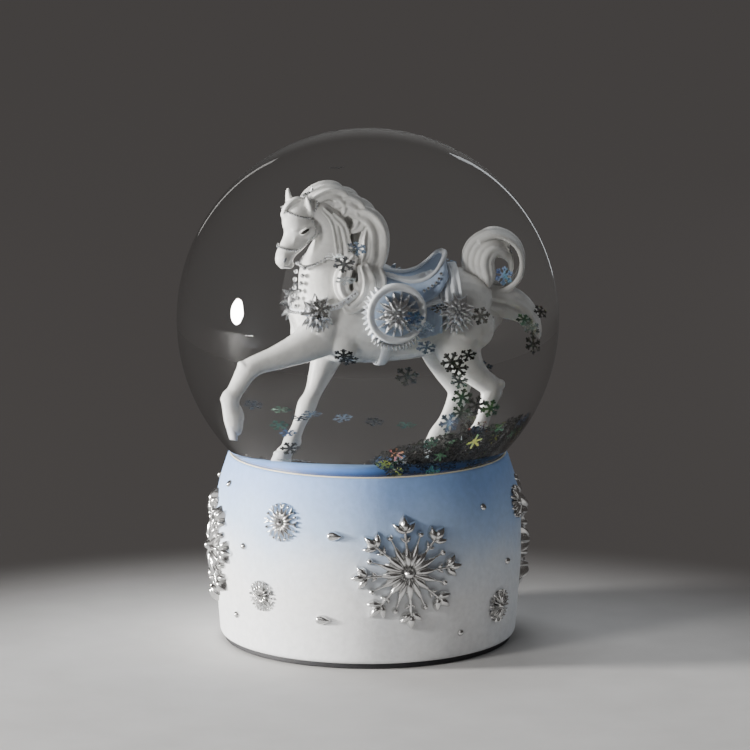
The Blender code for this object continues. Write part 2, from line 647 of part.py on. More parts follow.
LONG_ARM = ((7.4, 0.6, 1.9), (11.4, 2.2, 2.1), (15.0, 0.0, 1.2))
SHORT_ARM = ((8.8, 0.5, 1.6), (10.9, 0.0, 1.3))
for index, angle in enumerate((14.5, -81.0, 104.0, 192.0), 1):
    solid("relief_snowflake_%d" % index, relief_star(angle, 25.6, 8, LONG_ARM, SHORT_ARM, 5.2, 2.0),
          silver_trim)
MEDALLIONS = ((-33.6, 37.4, 5.0), (-42.5, 17.3, 4.15), (76.0, 37.9, 4.35), (58.0, 12.7, 4.5),
              (146.0, 37.6, 4.9), (150.0, 15.4, 4.25), (-124.0, 36.6, 4.7), (-128.0, 14.6, 4.35))
for index, (angle, height, radius) in enumerate(MEDALLIONS, 1):
    solid("relief_medallion_%d" % index, relief_dome(angle, height, circle(radius, 14), 1.5), silver_trim)
TEARDROP = ((2.3, 0.0), (0.9, 0.75), (-0.5, 1.3), (-1.6, 0.95), (-2.0, 0.0), (-1.6, -0.95), (-0.5, -1.3),
            (0.9, -0.75))
for index, (angle, height) in enumerate(((-12.0, 35.1), (-16.5, 13.0), (168.0, 35.4), (-147.0, 13.0)), 1):
    solid("relief_teardrop_%d" % index, relief_dome(angle, height, TEARDROP, 1.3), silver_trim)

# Musical movement
bed = solid("movement_bedplate", box((-24.5, -17.3, BEDPLATE_Z[0]), (24.0, 15.5, BEDPLATE_Z[1])), zinc)
combine(bed, guide("add_comb_block", box((0.2, -17.0, 15.0), (15.2, -12.6, 20.7))), "UNION")
drill(bed, "cut_bed_arbor", ARBOR_X, 0.0, 1.65, 13.0, 17.0)
for index, (x, y) in enumerate(((6.0, 11.5), (-5.0, -13.5)), 1):
    drill(bed, "cut_bed_screw_%d" % index, x, y, 1.1, 13.0, 17.0, 12)
    drill(plate, "cut_plate_movement_%d" % index, x, y, 1.15, 10.0, 15.0, 12)
    solid("movement_screw_%d" % index, screw(x, y, 2.0, 0.95, 11.0, 11.95, 15.6), steel)
at_arbor = Matrix.Translation((ARBOR_X, 0, 0))
cup = turned(((1.65, 15.7), (9.6, 15.7), (9.6, 26.0), (8.9, 26.0), (8.9, 16.5), (1.65, 16.5)), 28)
solid("spring_barrel", moved(cup, at_arbor), steel)
solid("mainspring", spring_shape(), steel)
turn_point = (ARBOR_X, 0.0, 12.0)
solid("winding_arbor", prism(circle(ARBOR_R, 16, (ARBOR_X, 0.0)), 6.6, 28.4), steel, origin=turn_point)
solid("great_wheel", crown_wheel(), brass, origin=turn_point)
sleeve = turned(((0.0, 4.8), (2.7, 4.8), (2.7, 11.2), (1.62, 11.2), (1.62, 6.5), (0.0, 6.5)), 16)
key = solid("winding_key", moved(sleeve, at_arbor), steel, origin=turn_point)
wing = [(-10.0, 3.4), (-8.6, 2.2), (-5.0, 2.0), (-2.2, 3.4), (2.2, 3.4), (5.0, 2.0), (8.6, 2.2), (10.0, 3.4),
        (10.0, 6.6), (8.6, 7.9), (5.0, 8.2), (2.0, 6.2), (-2.0, 6.2), (-5.0, 8.2), (-8.6, 7.9), (-10.0, 6.6)]
stand_up = at_arbor @ Matrix(((0, 0, 1, 0), (1, 0, 0, 0), (0, 1, 0, 0), (0, 0, 0, 1)))
combine(key, guide("add_key_wing", moved(prism(wing, -0.7, 0.7), stand_up)), "UNION")
combine(key, guide("cut_key_socket", prism(circle(1.62, 16, (ARBOR_X, 0.0)), 6.5, 12.0)), "DIFFERENCE")

spin_point = (-1.0, 0.0, CYLINDER_Z)
cylinder = solid("music_cylinder", along_x(prism(circle(CYLINDER_R, 24), -0.4, 15.6), 0, 0, CYLINDER_Z),
                 brass, origin=spin_point)
combine(cylinder, guide("add_cylinder_shaft", along_x(prism(circle(0.8, 10), -3.7, 19.0), 0, 0, CYLINDER_Z)),
        "UNION")
pinion = gear_outline(PINION_TEETH, PINION_R, 0.7, 1.1, 0.9, 0.35, math.pi)
combine(cylinder, guide("add_cylinder_pinion", along_x(prism(pinion, -3.6, -2.1), 0, 0, CYLINDER_Z)), "UNION")
drive = gear_outline(DRIVE_TEETH, DRIVE_R, 0.35, 0.5, 0.42, 0.2, math.pi / 2)
combine(cylinder, guide("add_cylinder_drive", along_x(prism(drive, 17.6, 18.8), 0, 0, CYLINDER_Z)), "UNION")

inner = solid("cylinder_bracket_inner", box((-1.8, -3.2, 15.7), (-0.9, 3.2, 24.4)), steel)
combine(inner, guide("cut_inner_bearing", along_x(prism(circle(0.95, 12), -3.0, 0.5), 0, 0, CYLINDER_Z)),
        "DIFFERENCE")
outer = solid("cylinder_bracket_outer", box((16.2, -3.2, 15.7), (17.1, 8.6, 24.4)), steel)
combine(outer, guide("cut_outer_bearing", along_x(prism(circle(0.95, 12), 15.5, 18.0), 0, 0, CYLINDER_Z)),
        "DIFFERENCE")
hole = along_x(prism(circle(0.75, 12), 15.5, 18.0), 0, GOVERNOR_Y, CYLINDER_Z)
combine(outer, guide("cut_outer_governor", hole), "DIFFERENCE")

comb = solid("music_comb", prism(comb_outline(), 20.75, 21.45), steel)
for index, x in enumerate((3.6, 11.8), 1):
    drill(comb, "cut_comb_screw_%d" % index, x, -14.7, 1.05, 20.0, 22.0, 12)
    drill(bed, "cut_bed_comb_%d" % index, x, -14.7, 1.05, 17.0, 21.5, 12)
    solid("comb_screw_%d" % index, screw(x, -14.7, 1.8, 0.9, 21.5, 22.5, 17.2), steel)

frame = solid("governor_frame", box((22.3, 3.0, 15.7), (23.2, 15.0, 26.2)), steel)
combine(frame, guide("add_frame_arm", box((18.6, 10.8, 25.2), (22.8, 13.6, 26.2))), "UNION")
hole = along_x(prism(circle(0.75, 12), 21.5, 24.0), 0, GOVERNOR_Y, CYLINDER_Z)
combine(frame, guide("cut_frame_wheel", hole), "DIFFERENCE")
drill(frame, "cut_frame_worm", WORM_X, WORM_Y, 0.65, 24.8, 26.6, 12)
wheel_point = (16.5, GOVERNOR_Y, CYLINDER_Z)
worm_wheel = prism(gear_outline(WORM_WHEEL_TEETH, 4.0, 0.3, 0.4, 0.36, 0.18), 19.9, 21.1)
wheel = solid("governor_wheel", along_x(worm_wheel, 0, GOVERNOR_Y, CYLINDER_Z), nylon, origin=wheel_point)
shaft = along_x(prism(circle(0.6, 10), 16.4, 23.0), 0, GOVERNOR_Y, CYLINDER_Z)
combine(wheel, guide("add_wheel_shaft", shaft), "UNION")
small = gear_outline(GOVERNOR_TEETH, GOVERNOR_R, 0.35, 0.5, 0.42, 0.2, math.pi / 2 + math.pi / GOVERNOR_TEETH)
small = along_x(prism(small, 17.5, 18.9), 0, GOVERNOR_Y, CYLINDER_Z)
combine(wheel, guide("add_wheel_pinion", small), "UNION")
fan = solid("governor_fan", worm_shape(), nylon, origin=(WORM_X, WORM_Y, 20.0))
blades = box((WORM_X - 3.0, WORM_Y - 0.25, 28.0), (WORM_X + 3.0, WORM_Y + 0.25, 32.4))
combine(fan, guide("add_fan_blades", blades), "UNION")
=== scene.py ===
"""Snow globe with a prancing horse: the visual model.

Lengths are worked out in millimetres and turned into metres when a mesh is made.
"""
import json
import math
import random

import bmesh
import bpy
from mathutils import Matrix, Quaternion, Vector


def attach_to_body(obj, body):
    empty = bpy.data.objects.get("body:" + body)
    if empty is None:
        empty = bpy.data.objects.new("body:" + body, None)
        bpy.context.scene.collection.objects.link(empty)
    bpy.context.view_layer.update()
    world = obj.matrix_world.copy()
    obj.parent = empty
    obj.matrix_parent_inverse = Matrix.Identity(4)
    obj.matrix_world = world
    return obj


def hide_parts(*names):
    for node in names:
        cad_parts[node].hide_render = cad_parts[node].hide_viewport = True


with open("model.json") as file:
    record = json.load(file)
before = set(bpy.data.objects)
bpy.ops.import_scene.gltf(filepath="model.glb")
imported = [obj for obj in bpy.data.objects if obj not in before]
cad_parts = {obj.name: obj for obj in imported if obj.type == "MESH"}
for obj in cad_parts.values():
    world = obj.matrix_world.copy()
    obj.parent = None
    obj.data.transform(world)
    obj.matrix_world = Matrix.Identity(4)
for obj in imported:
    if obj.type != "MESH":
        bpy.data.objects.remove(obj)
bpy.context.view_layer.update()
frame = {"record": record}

MM = 0.001
ROOT = "globe"
# Heights and radii in millimetres; SUNK is how far an ornament's edge goes into the wall.
GLOBE_Z = 84.5
GLASS_R = 50.0
WATER_R = 48.2
NECK_R = 31.5
NECK_FOOT_Z = 38.2
WATER_NECK_R = 29.7
FLOWER_Z = 25.6
PLATFORM_Z = 55.15
SUNK = -0.3
TURN = Matrix.Rotation(math.radians(14.0), 4, "Z")


# ---------------------------------------------------------------- mesh helpers

def build(name, shape, paints, smooth=True, body=ROOT, replaces=(), picks=None):
    """Make an object from (points, faces) in millimetres and attach it to a body."""
    points, faces = shape
    mesh = bpy.data.meshes.new(name)
    mesh.from_pydata([Vector(p) * MM for p in points], [], faces)
    work = bmesh.new()
    work.from_mesh(mesh)
    bmesh.ops.recalc_face_normals(work, faces=work.faces)
    work.to_mesh(mesh)
    work.free()
    item = bpy.data.objects.new(name, mesh)
    bpy.context.collection.objects.link(item)
    for paint in paints if isinstance(paints, (list, tuple)) else [paints]:
        mesh.materials.append(paint)
    mesh.polygons.foreach_set("use_smooth", [smooth] * len(mesh.polygons))
    if picks:
        mesh.polygons.foreach_set("material_index", picks)
    attach(item, body, replaces)
    return item


def attach(item, body=ROOT, replaces=()):
    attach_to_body(item, body)
    if replaces:
        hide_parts(*replaces)


def bake(item):
    """Replace an object's mesh by its evaluated mesh and drop the modifiers."""
    bpy.context.view_layer.update()
    graph = bpy.context.evaluated_depsgraph_get()
    mesh = bpy.data.meshes.new_from_object(item.evaluated_get(graph))
    paints = list(item.data.materials)
    item.modifiers.clear()
    item.data = mesh
    mesh.materials.clear()
    for paint in paints:
        mesh.materials.append(paint)
    mesh.polygons.foreach_set("use_smooth", [True] * len(mesh.polygons))


def fuse(item, voxel, smooth_steps, factor=0.5):
    """Melt overlapping shapes into one skin."""
    step = item.modifiers.new("Skin", "REMESH")
    step.mode = "VOXEL"
    step.voxel_size = voxel * MM
    step = item.modifiers.new("Soften", "SMOOTH")
    step.iterations = smooth_steps
    step.factor = factor
    bake(item)


def moved(shape, matrix):
    points, faces = shape
    return [tuple(matrix @ Vector(p)) for p in points], faces


def merged(shapes):
    points, faces = [], []
    for extra_points, extra_faces in shapes:
        start = len(points)
        points.extend(extra_points)
        faces.extend([tuple(i + start for i in face) for face in extra_faces])
    return points, faces


def heading(angle):
    return Vector((math.cos(angle), math.sin(angle)))


def between(first, second):
    """Faces between two rings of point numbers; a ring that is one point gives triangles."""
    sides = len(first)
    faces = []
    for step in range(sides):
        after = (step + 1) % sides
        faces.append(tuple(dict.fromkeys((first[step], first[after], second[after], second[step]))))
    return faces


def skin(rings, sides, capped=True):
    """Faces round rings of points that follow each other, with a flat cap at each end."""
    faces = []
    for ring in range(rings - 1):
        faces += between(range(ring * sides, (ring + 1) * sides),
                         range((ring + 1) * sides, (ring + 2) * sides))
    if capped:
        faces += [tuple(range(sides)), tuple(range((rings - 1) * sides, rings * sides))]
    return faces


def fan(low, sides):
    """Triangles from the ring that starts at point low to the one point after it."""
    return [(low + step, low + (step + 1) % sides, low + sides) for step in range(sides)]


def grid(steps, columns):
    faces = []
    for step in range(steps):
        for column in range(columns - 1):
            low = step * columns + column
            faces.append((low, low + 1, low + columns + 1, low + columns))
    return faces


def turned(profile, segments, closed=True):
    """Revolve (radius, height) points about Z."""
    on_axis = 1e-6
    points, rows = [], []
    for radius, height in profile:
        if radius < on_axis:
            rows.append([len(points)] * segments)
            points.append((0.0, 0.0, height))
        else:
            rows.append(list(range(len(points), len(points) + segments)))
            for step in range(segments):
                angle = 2 * math.pi * step / segments
                points.append((radius * math.cos(angle), radius * math.sin(angle), height))
    faces = []
    count = len(rows)
    for index in range(count if closed else count - 1):
        after = (index + 1) % count
        if profile[index][0] >= on_axis or profile[after][0] >= on_axis:
            faces += between(rows[index], rows[after])
    return points, faces


def spline(rows, steps):
    """Catmull-Rom curve through rows of numbers, with this many steps between rows."""
    out = []
    count = len(rows)
    for index in range(count - 1):
        p0 = rows[max(index - 1, 0)]
        p1, p2 = rows[index], rows[index + 1]
        p3 = rows[min(index + 2, count - 1)]
        for step in range(steps):
            t = step / steps
            out.append([0.5 * (2 * b + (c - a) * t + (2 * a - 5 * b + 4 * c - d) * t * t
                               + (3 * b - a - 3 * c + d) * t ** 3) for a, b, c, d in zip(p0, p1, p2, p3)])
    out.append(list(rows[-1]))
    return out


def tube(rows, sides=16, steps=5, ridges=0, depth=0.0, twist=0.0, side=(0.0, 1.0, 0.0)):
    """Tube along rows of (x, y, z, half width, half depth), with optional hair-like ridges."""
    rows = spline(rows, steps)
    places = [Vector(row[:3]) for row in rows]
    count = len(rows)
    across = Vector(side)
    points, rings = [], []
    for index in range(count):
        along = (places[min(index + 1, count - 1)] - places[max(index - 1, 0)]).normalized()
        across = (across - along * across.dot(along)).normalized()
        rings.append((places[index], along, across.copy(), along.cross(across), max(rows[index][3], 0.02),
                      max(rows[index][4], 0.02), index / max(count - 1, 1)))
    caps = []
    for ring, sign in ((rings[0], -1), (rings[-1], 1)):
        reach = min(ring[4], ring[5])
        extra = []
        for share in (0.45, 0.8):
            scale = math.sqrt(1 - share * share)
            extra.append((ring[0] + ring[1] * sign * reach * share, ring[1], ring[2], ring[3],
                          ring[4] * scale, ring[5] * scale, ring[6]))
        caps.append(extra)
    rings = caps[0][::-1] + rings + caps[1]
    for center, _, wide, deep, half_width, half_depth, share in rings:
        for step in range(sides):
            angle = 2 * math.pi * step / sides
            swell = 1.0 + depth * math.cos(ridges * angle + twist * share) if ridges else 1.0
            points.append(tuple(center + wide * half_width * math.cos(angle) * swell
                                + deep * half_depth * math.sin(angle) * swell))
    return points, skin(len(rings), sides)


def ball(center, radii, rings=10, sides=16, turn=None):
    points, faces = [], []
    basis = turn or Matrix.Identity(3)
    for ring in range(rings + 1):
        lean = math.pi * ring / rings
        for step in range(sides):
            angle = 2 * math.pi * step / sides
            local = Vector((radii[0] * math.sin(lean) * math.cos(angle),
                            radii[1] * math.sin(lean) * math.sin(angle), radii[2] * math.cos(lean)))
            points.append(tuple(Vector(center) + basis @ local))
            if ring in (0, rings):
                break
    rows = [[0] * sides]
    rows += [list(range(1 + ring * sides, 1 + (ring + 1) * sides)) for ring in range(rings - 1)]
    rows.append([len(points) - 1] * sides)
    for first, second in zip(rows, rows[1:]):
        faces += between(first, second)
    return points, faces


# ---------------------------------------------------------------- materials

class Paint:
    """Small helper that builds a Principled material out of nodes."""

    def __init__(self, name, color, roughness, metallic=0.0, coat=0.0):
        self.material = bpy.data.materials.new(name)
        self.material.use_nodes = True
        self.tree = self.material.node_tree
        self.shader = self.tree.nodes["Principled BSDF"]
        self.shader.inputs["Base Color"].default_value = (*color, 1.0)
        self.shader.inputs["Roughness"].default_value = roughness
        self.shader.inputs["Metallic"].default_value = metallic
        self.shader.inputs["Coat Weight"].default_value = coat
        self.coords = self.tree.nodes.new("ShaderNodeTexCoord")

    def node(self, kind, **values):
        made = self.tree.nodes.new(kind)
        for key, value in values.items():
            setattr(made, key, value)
        return made

    def link(self, source, target):
        self.tree.links.new(source, target)

    def math(self, operation, *values):
        """Math node on these numbers or sockets."""
        made = self.node("ShaderNodeMath", operation=operation)
        for value, target in zip(values, made.inputs):
            if isinstance(value, float):
                target.default_value = value
            else:
                self.link(value, target)
        return made.outputs["Value"]

    def noise(self, scale, detail=4.0, stretch=(1.0, 1.0, 1.0), rough=0.55):
        shift = self.node("ShaderNodeMapping")
        shift.inputs["Scale"].default_value = stretch
        self.link(self.coords.outputs["Object"], shift.inputs["Vector"])
        made = self.node("ShaderNodeTexNoise")
        made.inputs["Scale"].default_value = scale
        made.inputs["Detail"].default_value = detail
        made.inputs["Roughness"].default_value = rough
        self.link(shift.outputs["Vector"], made.inputs["Vector"])
        return made.outputs["Fac"]

    def ramp(self, source, stops):
        made = self.node("ShaderNodeValToRGB")
        spots = made.color_ramp.elements
        while len(spots) < len(stops):
            spots.new(0.5)
        for spot, (position, color) in zip(spots, stops):
            spot.position = position
            spot.color = (*color, 1.0)
        self.link(source, made.inputs["Fac"])
        return made.outputs["Color"]

    def color(self, source):
        self.link(source, self.shader.inputs["Base Color"])
        return self

    def rough(self, source, low, high):
        made = self.node("ShaderNodeMapRange")
        made.inputs["To Min"].default_value = low
        made.inputs["To Max"].default_value = high
        self.link(source, made.inputs["Value"])
        self.link(made.outputs["Result"], self.shader.inputs["Roughness"])
        return self

    def bump(self, source, strength, distance):
        made = self.node("ShaderNodeBump")
        made.inputs["Strength"].default_value = strength
        made.inputs["Distance"].default_value = distance * MM
        self.link(source, made.inputs["Height"])
        self.link(made.outputs["Normal"], self.shader.inputs["Normal"])
        return self

    def height(self, low, high):
        """0 to 1 between two heights in millimetres."""
        split = self.node("ShaderNodeSeparateXYZ")
        self.link(self.coords.outputs["Object"], split.inputs["Vector"])
        made = self.node("ShaderNodeMapRange")
        made.inputs["From Min"].default_value = low * MM
        made.inputs["From Max"].default_value = high * MM
        self.link(split.outputs["Z"], made.inputs["Value"])
        return made.outputs["Result"]

    def mix(self, first, second, factor, mode="MIX"):
        made = self.node("ShaderNodeMix", data_type="RGBA", blend_type=mode)
        for source, target in ((first, made.inputs["A"]), (second, made.inputs["B"])):
            if isinstance(source, tuple):
                target.default_value = (*source, 1.0)
            else:
                self.link(source, target)
        if isinstance(factor, float):
            made.inputs["Factor"].default_value = factor
        else:
            self.link(factor, made.inputs["Factor"])
        return made.outputs["Result"]


def speckled(name, color, dark, roughness, metallic=0.0, scale=900.0, bump=0.02, coat=0.0, spread=0.08):
    """Paint or metal whose colour and gloss vary a little."""
    paint = Paint(name, color, roughness, metallic, coat)
    grain = paint.noise(scale, 5.0)
    paint.color(paint.ramp(grain, ((0.3, dark), (0.62, color))))
    paint.rough(grain, max(0.02, roughness - spread), roughness + spread)
    paint.bump(grain, 0.4, bump)
    return paint.material


def clear_material(name, ior, tint, edge, shadow, sheen):
    """Refracting surface that lets lamp light through; only its outside mirrors, by the share in sheen."""
    paint = Paint(name, tint, 0.0)
    paint.tree.nodes.remove(paint.shader)
    # Where the surface is seen edge-on its colour turns from tint to edge: painted shade along the rim.
    steep = paint.math("POWER", paint.node("ShaderNodeLayerWeight").outputs["Facing"], 6.0)
    bend = paint.node("ShaderNodeBsdfRefraction")
    bend.inputs["Roughness"].default_value = 0.0
    bend.inputs["IOR"].default_value = ior
    paint.link(paint.mix(tint, edge, steep), bend.inputs["Color"])
    mirror = paint.node("ShaderNodeBsdfGlossy")
    mirror.inputs["Color"].default_value = (1.0, 1.0, 1.0, 1.0)
    mirror.inputs["Roughness"].default_value = 0.0
    through = paint.node("ShaderNodeBsdfTransparent")
    through.inputs["Color"].default_value = (shadow, shadow, shadow, 1.0)

    fresnel = paint.node("ShaderNodeFresnel")
    fresnel.inputs["IOR"].default_value = max(ior, 1.0 / ior)
    smears = paint.node("ShaderNodeTexNoise")
    smears.inputs["Scale"].default_value = 70.0
    paint.link(paint.coords.outputs["Object"], smears.inputs["Vector"])
    cover = paint.node("ShaderNodeMapRange")
    cover.inputs["To Min"].default_value = sheen * 0.9
    cover.inputs["To Max"].default_value = sheen
    paint.link(smears.outputs["Fac"], cover.inputs["Value"])
    outside = paint.math("SUBTRACT", 1.0, paint.node("ShaderNodeNewGeometry").outputs["Backfacing"])
    share = paint.math("MULTIPLY", fresnel.outputs["Fac"], outside)

    def blend(weight, first, second):
        made = paint.node("ShaderNodeMixShader")
        for source, target in zip((weight, first, second), made.inputs):
            paint.link(source, target)
        return made.outputs["Shader"]

    surface = blend(paint.math("MULTIPLY", share, cover.outputs["Result"]), bend.outputs["BSDF"],
                    mirror.outputs["BSDF"])
    shadow_ray = paint.node("ShaderNodeLightPath").outputs["Is Shadow Ray"]
    whole = blend(shadow_ray, surface, through.outputs["BSDF"])
    paint.link(whole, paint.tree.nodes["Material Output"].inputs["Surface"])
    return paint.material


# The dark edge colour given to each surface is painted shade along its rim.
glass = clear_material("clear_glass", 1.5, (1.0, 1.0, 1.0), (0.12, 0.13, 0.14), 0.97, 1.0)
water = clear_material("clear_liquid", 1.335 / 1.5, (0.99, 1.0, 1.0), (0.85, 0.87, 0.88), 0.99, 0.1)

horse_paint = speckled("pearl_white_resin", (0.84, 0.835, 0.81), (0.76, 0.755, 0.74), 0.28, scale=420.0,
                       bump=0.06, coat=0.6)
hoof_paint = speckled("hoof_resin", (0.74, 0.75, 0.77), (0.62, 0.63, 0.66), 0.4, scale=500.0, bump=0.05)
seat_paint = speckled("saddle_pearl_blue", (0.52, 0.63, 0.80), (0.40, 0.51, 0.70), 0.35, scale=380.0,
                      bump=0.04, coat=0.2)
rim_paint = speckled("saddle_rim_white", (0.86, 0.88, 0.90), (0.74, 0.78, 0.84), 0.35, scale=420.0,
                     bump=0.04, coat=0.15)
shade_paint = speckled("shaded_hollow", (0.30, 0.31, 0.33), (0.20, 0.21, 0.23), 0.5, scale=300.0, bump=0.02)
dark_paint = speckled("eye_black", (0.075, 0.07, 0.06), (0.03, 0.028, 0.025), 0.18, scale=300.0, bump=0.01)
silver = speckled("silver_leaf_paint", (0.90, 0.91, 0.92), (0.74, 0.75, 0.77), 0.26, 0.95, scale=520.0,
                  bump=0.05, spread=0.10)
relief_silver = speckled("relief_silver", (0.84, 0.84, 0.83), (0.66, 0.66, 0.66), 0.24, 1.0, scale=480.0,
                         bump=0.05, spread=0.08)
rubber = speckled("black_rubber", (0.022, 0.022, 0.025), (0.014, 0.014, 0.016), 0.65, scale=700.0, bump=0.03)
glue = speckled("amber_adhesive", (0.86, 0.80, 0.62), (0.74, 0.66, 0.48), 0.3, scale=260.0, bump=0.06)


def base_material():
    paint = Paint("resin_bluer_towards_top", (0.86, 0.89, 0.93), 0.62)
    cloudy = paint.noise(30.0, 5.0, (1.0, 1.0, 0.5), 0.6)
    fade = paint.height(17.0, 48.0)
    shifted = paint.math("ADD", fade, paint.math("MULTIPLY_ADD", cloudy, 0.62, -0.31))
    # Pale grey at the bottom, turning to a darker, stronger blue towards the top.
    tone = paint.ramp(shifted, ((0.0, (0.83, 0.84, 0.85)), (0.3, (0.72, 0.78, 0.86)),
                                           (0.6, (0.45, 0.60, 0.85)), (1.0, (0.29, 0.46, 0.82))))
    fine = paint.noise(620.0, 5.0)
    paint.color(paint.mix(tone, paint.ramp(fine, ((0.3, (0.88, 0.88, 0.88)), (0.7, (1.0, 1.0, 1.0)))), 1.0,
                          "MULTIPLY"))
    paint.rough(fine, 0.5, 0.7)
    paint.bump(fine, 0.6, 0.12)
    return paint.material


def platform_material():
    paint = Paint("platform_blue_painted_shade", (0.20, 0.36, 0.66), 0.5)
    grain = paint.noise(300.0, 5.0)
    # Blue paint, darkened to near black towards the bottom as painted shade down inside the neck, and greyer
    # at the top.
    tone = paint.ramp(paint.height(48.0, 55.2), ((0.0, (0.02, 0.04, 0.12)), (0.45, (0.04, 0.10, 0.30)),
                                                 (0.62, (0.10, 0.24, 0.62)),
                                                 (0.85, (0.17, 0.29, 0.52)), (1.0, (0.32, 0.40, 0.50))))
    paint.color(paint.mix(tone, paint.ramp(grain, ((0.3, (0.80, 0.80, 0.80)), (0.7, (1.0, 1.0, 1.0)))), 1.0,
                          "MULTIPLY"))
    paint.rough(grain, 0.4, 0.6)
    paint.bump(grain, 0.4, 0.06)
    return paint.material


def foil_material(name, first, second, third, roughness, metallic=1.0):
    paint = Paint(name, second, roughness, metallic)
    rainbow = paint.noise(420.0, 2.0)
    paint.color(paint.ramp(rainbow, ((0.32, first), (0.5, second), (0.68, third))))
    paint.rough(paint.noise(1500.0, 3.0), roughness * 0.6, roughness * 1.5)
    return paint.material


base_paint = base_material()
platform_paint = platform_material()
foils = [
    foil_material("foil_silver", (0.50, 0.53, 0.56), (0.72, 0.74, 0.76), (0.50, 0.60, 0.64), 0.24),
    foil_material("foil_dark", (0.06, 0.065, 0.06), (0.13, 0.125, 0.115), (0.08, 0.09, 0.085), 0.25, 0.9),
    foil_material("foil_green", (0.04, 0.19, 0.10), (0.18, 0.38, 0.20), (0.08, 0.28, 0.22), 0.2, 0.95),
    foil_material("foil_blue", (0.10, 0.14, 0.30), (0.28, 0.38, 0.58), (0.15, 0.34, 0.46), 0.2, 0.9),
    foil_material("foil_rose", (0.52, 0.10, 0.14), (0.66, 0.36, 0.18), (0.50, 0.16, 0.36), 0.2, 0.9),
    foil_material("foil_lime", (0.55, 0.74, 0.14), (0.80, 0.78, 0.20), (0.26, 0.66, 0.36), 0.2, 0.8),
]

# ---------------------------------------------------------------- glass and liquid


def arc(radius, neck_r, steps):
    """Points down a sphere from the top to where its neck starts."""
    low = math.acos(math.sqrt(radius ** 2 - neck_r ** 2) / radius)
    points = []
    for step in range(steps + 1):
        lean = (math.pi - low) * step / steps
        points.append((radius * math.sin(lean), GLOBE_Z + radius * math.cos(lean)))
    return points


glass_profile = [(0.0, GLOBE_Z + GLASS_R)] + arc(GLASS_R, NECK_R, 84)[1:]
glass_profile += [(NECK_R, 44.6), (NECK_R, NECK_FOOT_Z), (0.0, NECK_FOOT_Z)]
build("glass_outer", turned(glass_profile, 160, closed=False), glass,
      replaces=("glass_globe",))
water_profile = [(0.0, GLOBE_Z + WATER_R)] + arc(WATER_R, WATER_NECK_R, 80)[1:]
water_profile += [(WATER_NECK_R, 46.0), (WATER_NECK_R, 40.0), (0.0, 40.0)]
build("liquid_surface", turned(water_profile, 150, closed=False), water,
      replaces=("liquid_fill",))

# ---------------------------------------------------------------- base

BARREL = ((38.05, 1.35), (38.5, 1.55), (38.9, 2.0), (39.15, 3.2), (39.5, 8.0), (39.9, 13.0), (40.3, 18.5),
          (40.5, 24.7),
          (40.42, 30.0), (40.0, 36.7), (38.95, 42.3), (37.95, 45.6), (36.95, 48.5), (36.6, 49.15))


def wall_radius(height):
    for (low_r, low_z), (high_r, high_z) in zip(BARREL, BARREL[1:]):
        if height <= high_z:
            share = max(0.0, (height - low_z) / (high_z - low_z))
            return low_r + (high_r - low_r) * share
    return BARREL[-1][0]


barrel = [tuple(p) for p in spline([list(p) for p in BARREL], 5)]
barrel += [(36.45, 49.33), (36.2, 49.35), (35.95, 49.25), (34.9, 47.2), (33.0, 45.0), (32.0, 43.2),
           (32.0, 36.15), (28.5, 36.15),
           (28.5, 33.5), (36.6, 33.5), (36.6, 17.0), (34.4, 17.0), (34.4, 14.1), (36.6, 14.1), (36.6, 1.35)]
build("base_barrel", turned(barrel, 180), base_paint, replaces=("base_shell",))
build("foot_pad", turned(((35.6, 0.0), (37.6, 0.0), (37.85, 0.15), (37.9, 0.4), (37.9, 1.3), (35.6, 1.3)),
                         160), rubber,
      replaces=("foot_ring",), smooth=False)
bead_ring = [(36.12 + 0.24 * math.cos(2 * math.pi * i / 10), 49.52 + 0.2 * math.sin(2 * math.pi * i / 10))
             for i in range(10)]
build("rim_glue_line", turned(bead_ring, 160), glue, replaces=("rim_adhesive",))
build("platform_disc", turned(((0.0, 55.0), (10.0, 54.95), (20.0, 54.75), (26.0, 54.5), (28.2, 54.25),
                               (28.9, 53.9), (29.2, 53.4),
                               (29.2, 49.0), (28.2, 46.85), (0.0, 46.85)), 120), platform_paint,
      replaces=("figurine_platform",))


# ---------------------------------------------------------------- relief ornaments

def on_wall(angle, height):
    """Return a function that wraps (across, up, out) round the base wall."""
    def place(across, up, out):
        turn = math.radians(angle) + across / wall_radius(height)
        radius = wall_radius(height + up) + out
        return radius * math.sin(turn), -radius * math.cos(turn), height + up
    return place


def on_disc(x, z, out, side):
    """Return a function that puts (across, up, out) on the horse's flank, before the horse is turned."""
    def place(across, up, lift):
        return tuple(TURN @ Vector((x + across, -side * (out + lift), z + up)))
    return place


def leaf(center, aim, length, half, rise, base=0.0, blunt=0.55):
    """Pointed ridged leaf of (across, up, out) points; it starts at the center and points along aim."""
    ahead = heading(aim)
    side = Vector((-ahead.y, ahead.x))
    start = Vector(center)
    points = []
    steps, columns = 8, 7
    for step in range(steps + 1):
        t = step / steps
        width = 0.02
        if 0 < step < steps:
            width += half * math.sin(math.pi * t ** blunt) ** 0.85
        arch = 0.3 + 0.7 * math.sin(math.pi * t ** 0.8) ** 0.6
        for column in range(columns):
            s = -1.0 + 2.0 * column / (columns - 1)
            lift = base + rise * (1.0 - abs(s) ** 2.2) ** 0.7 * arch
            spot = start + ahead * length * t + side * width * s
            points.append((spot.x, spot.y, lift if 0 < column < columns - 1 else SUNK))
    return points, grid(steps, columns)


def bead(center, radius, rise, rings=5, sides=14):
    points = []
    for ring in range(rings):
        lean = math.pi / 2 * ring / rings
        reach = radius * math.cos(lean)
        for step in range(sides):
            angle = 2 * math.pi * step / sides
            points.append((center[0] + reach * math.cos(angle), center[1] + reach * math.sin(angle),
                           rise * math.sin(lean) if ring else SUNK))
    points.append((center[0], center[1], rise))
    return points, skin(rings, sides, capped=False) + fan((rings - 1) * sides, sides)


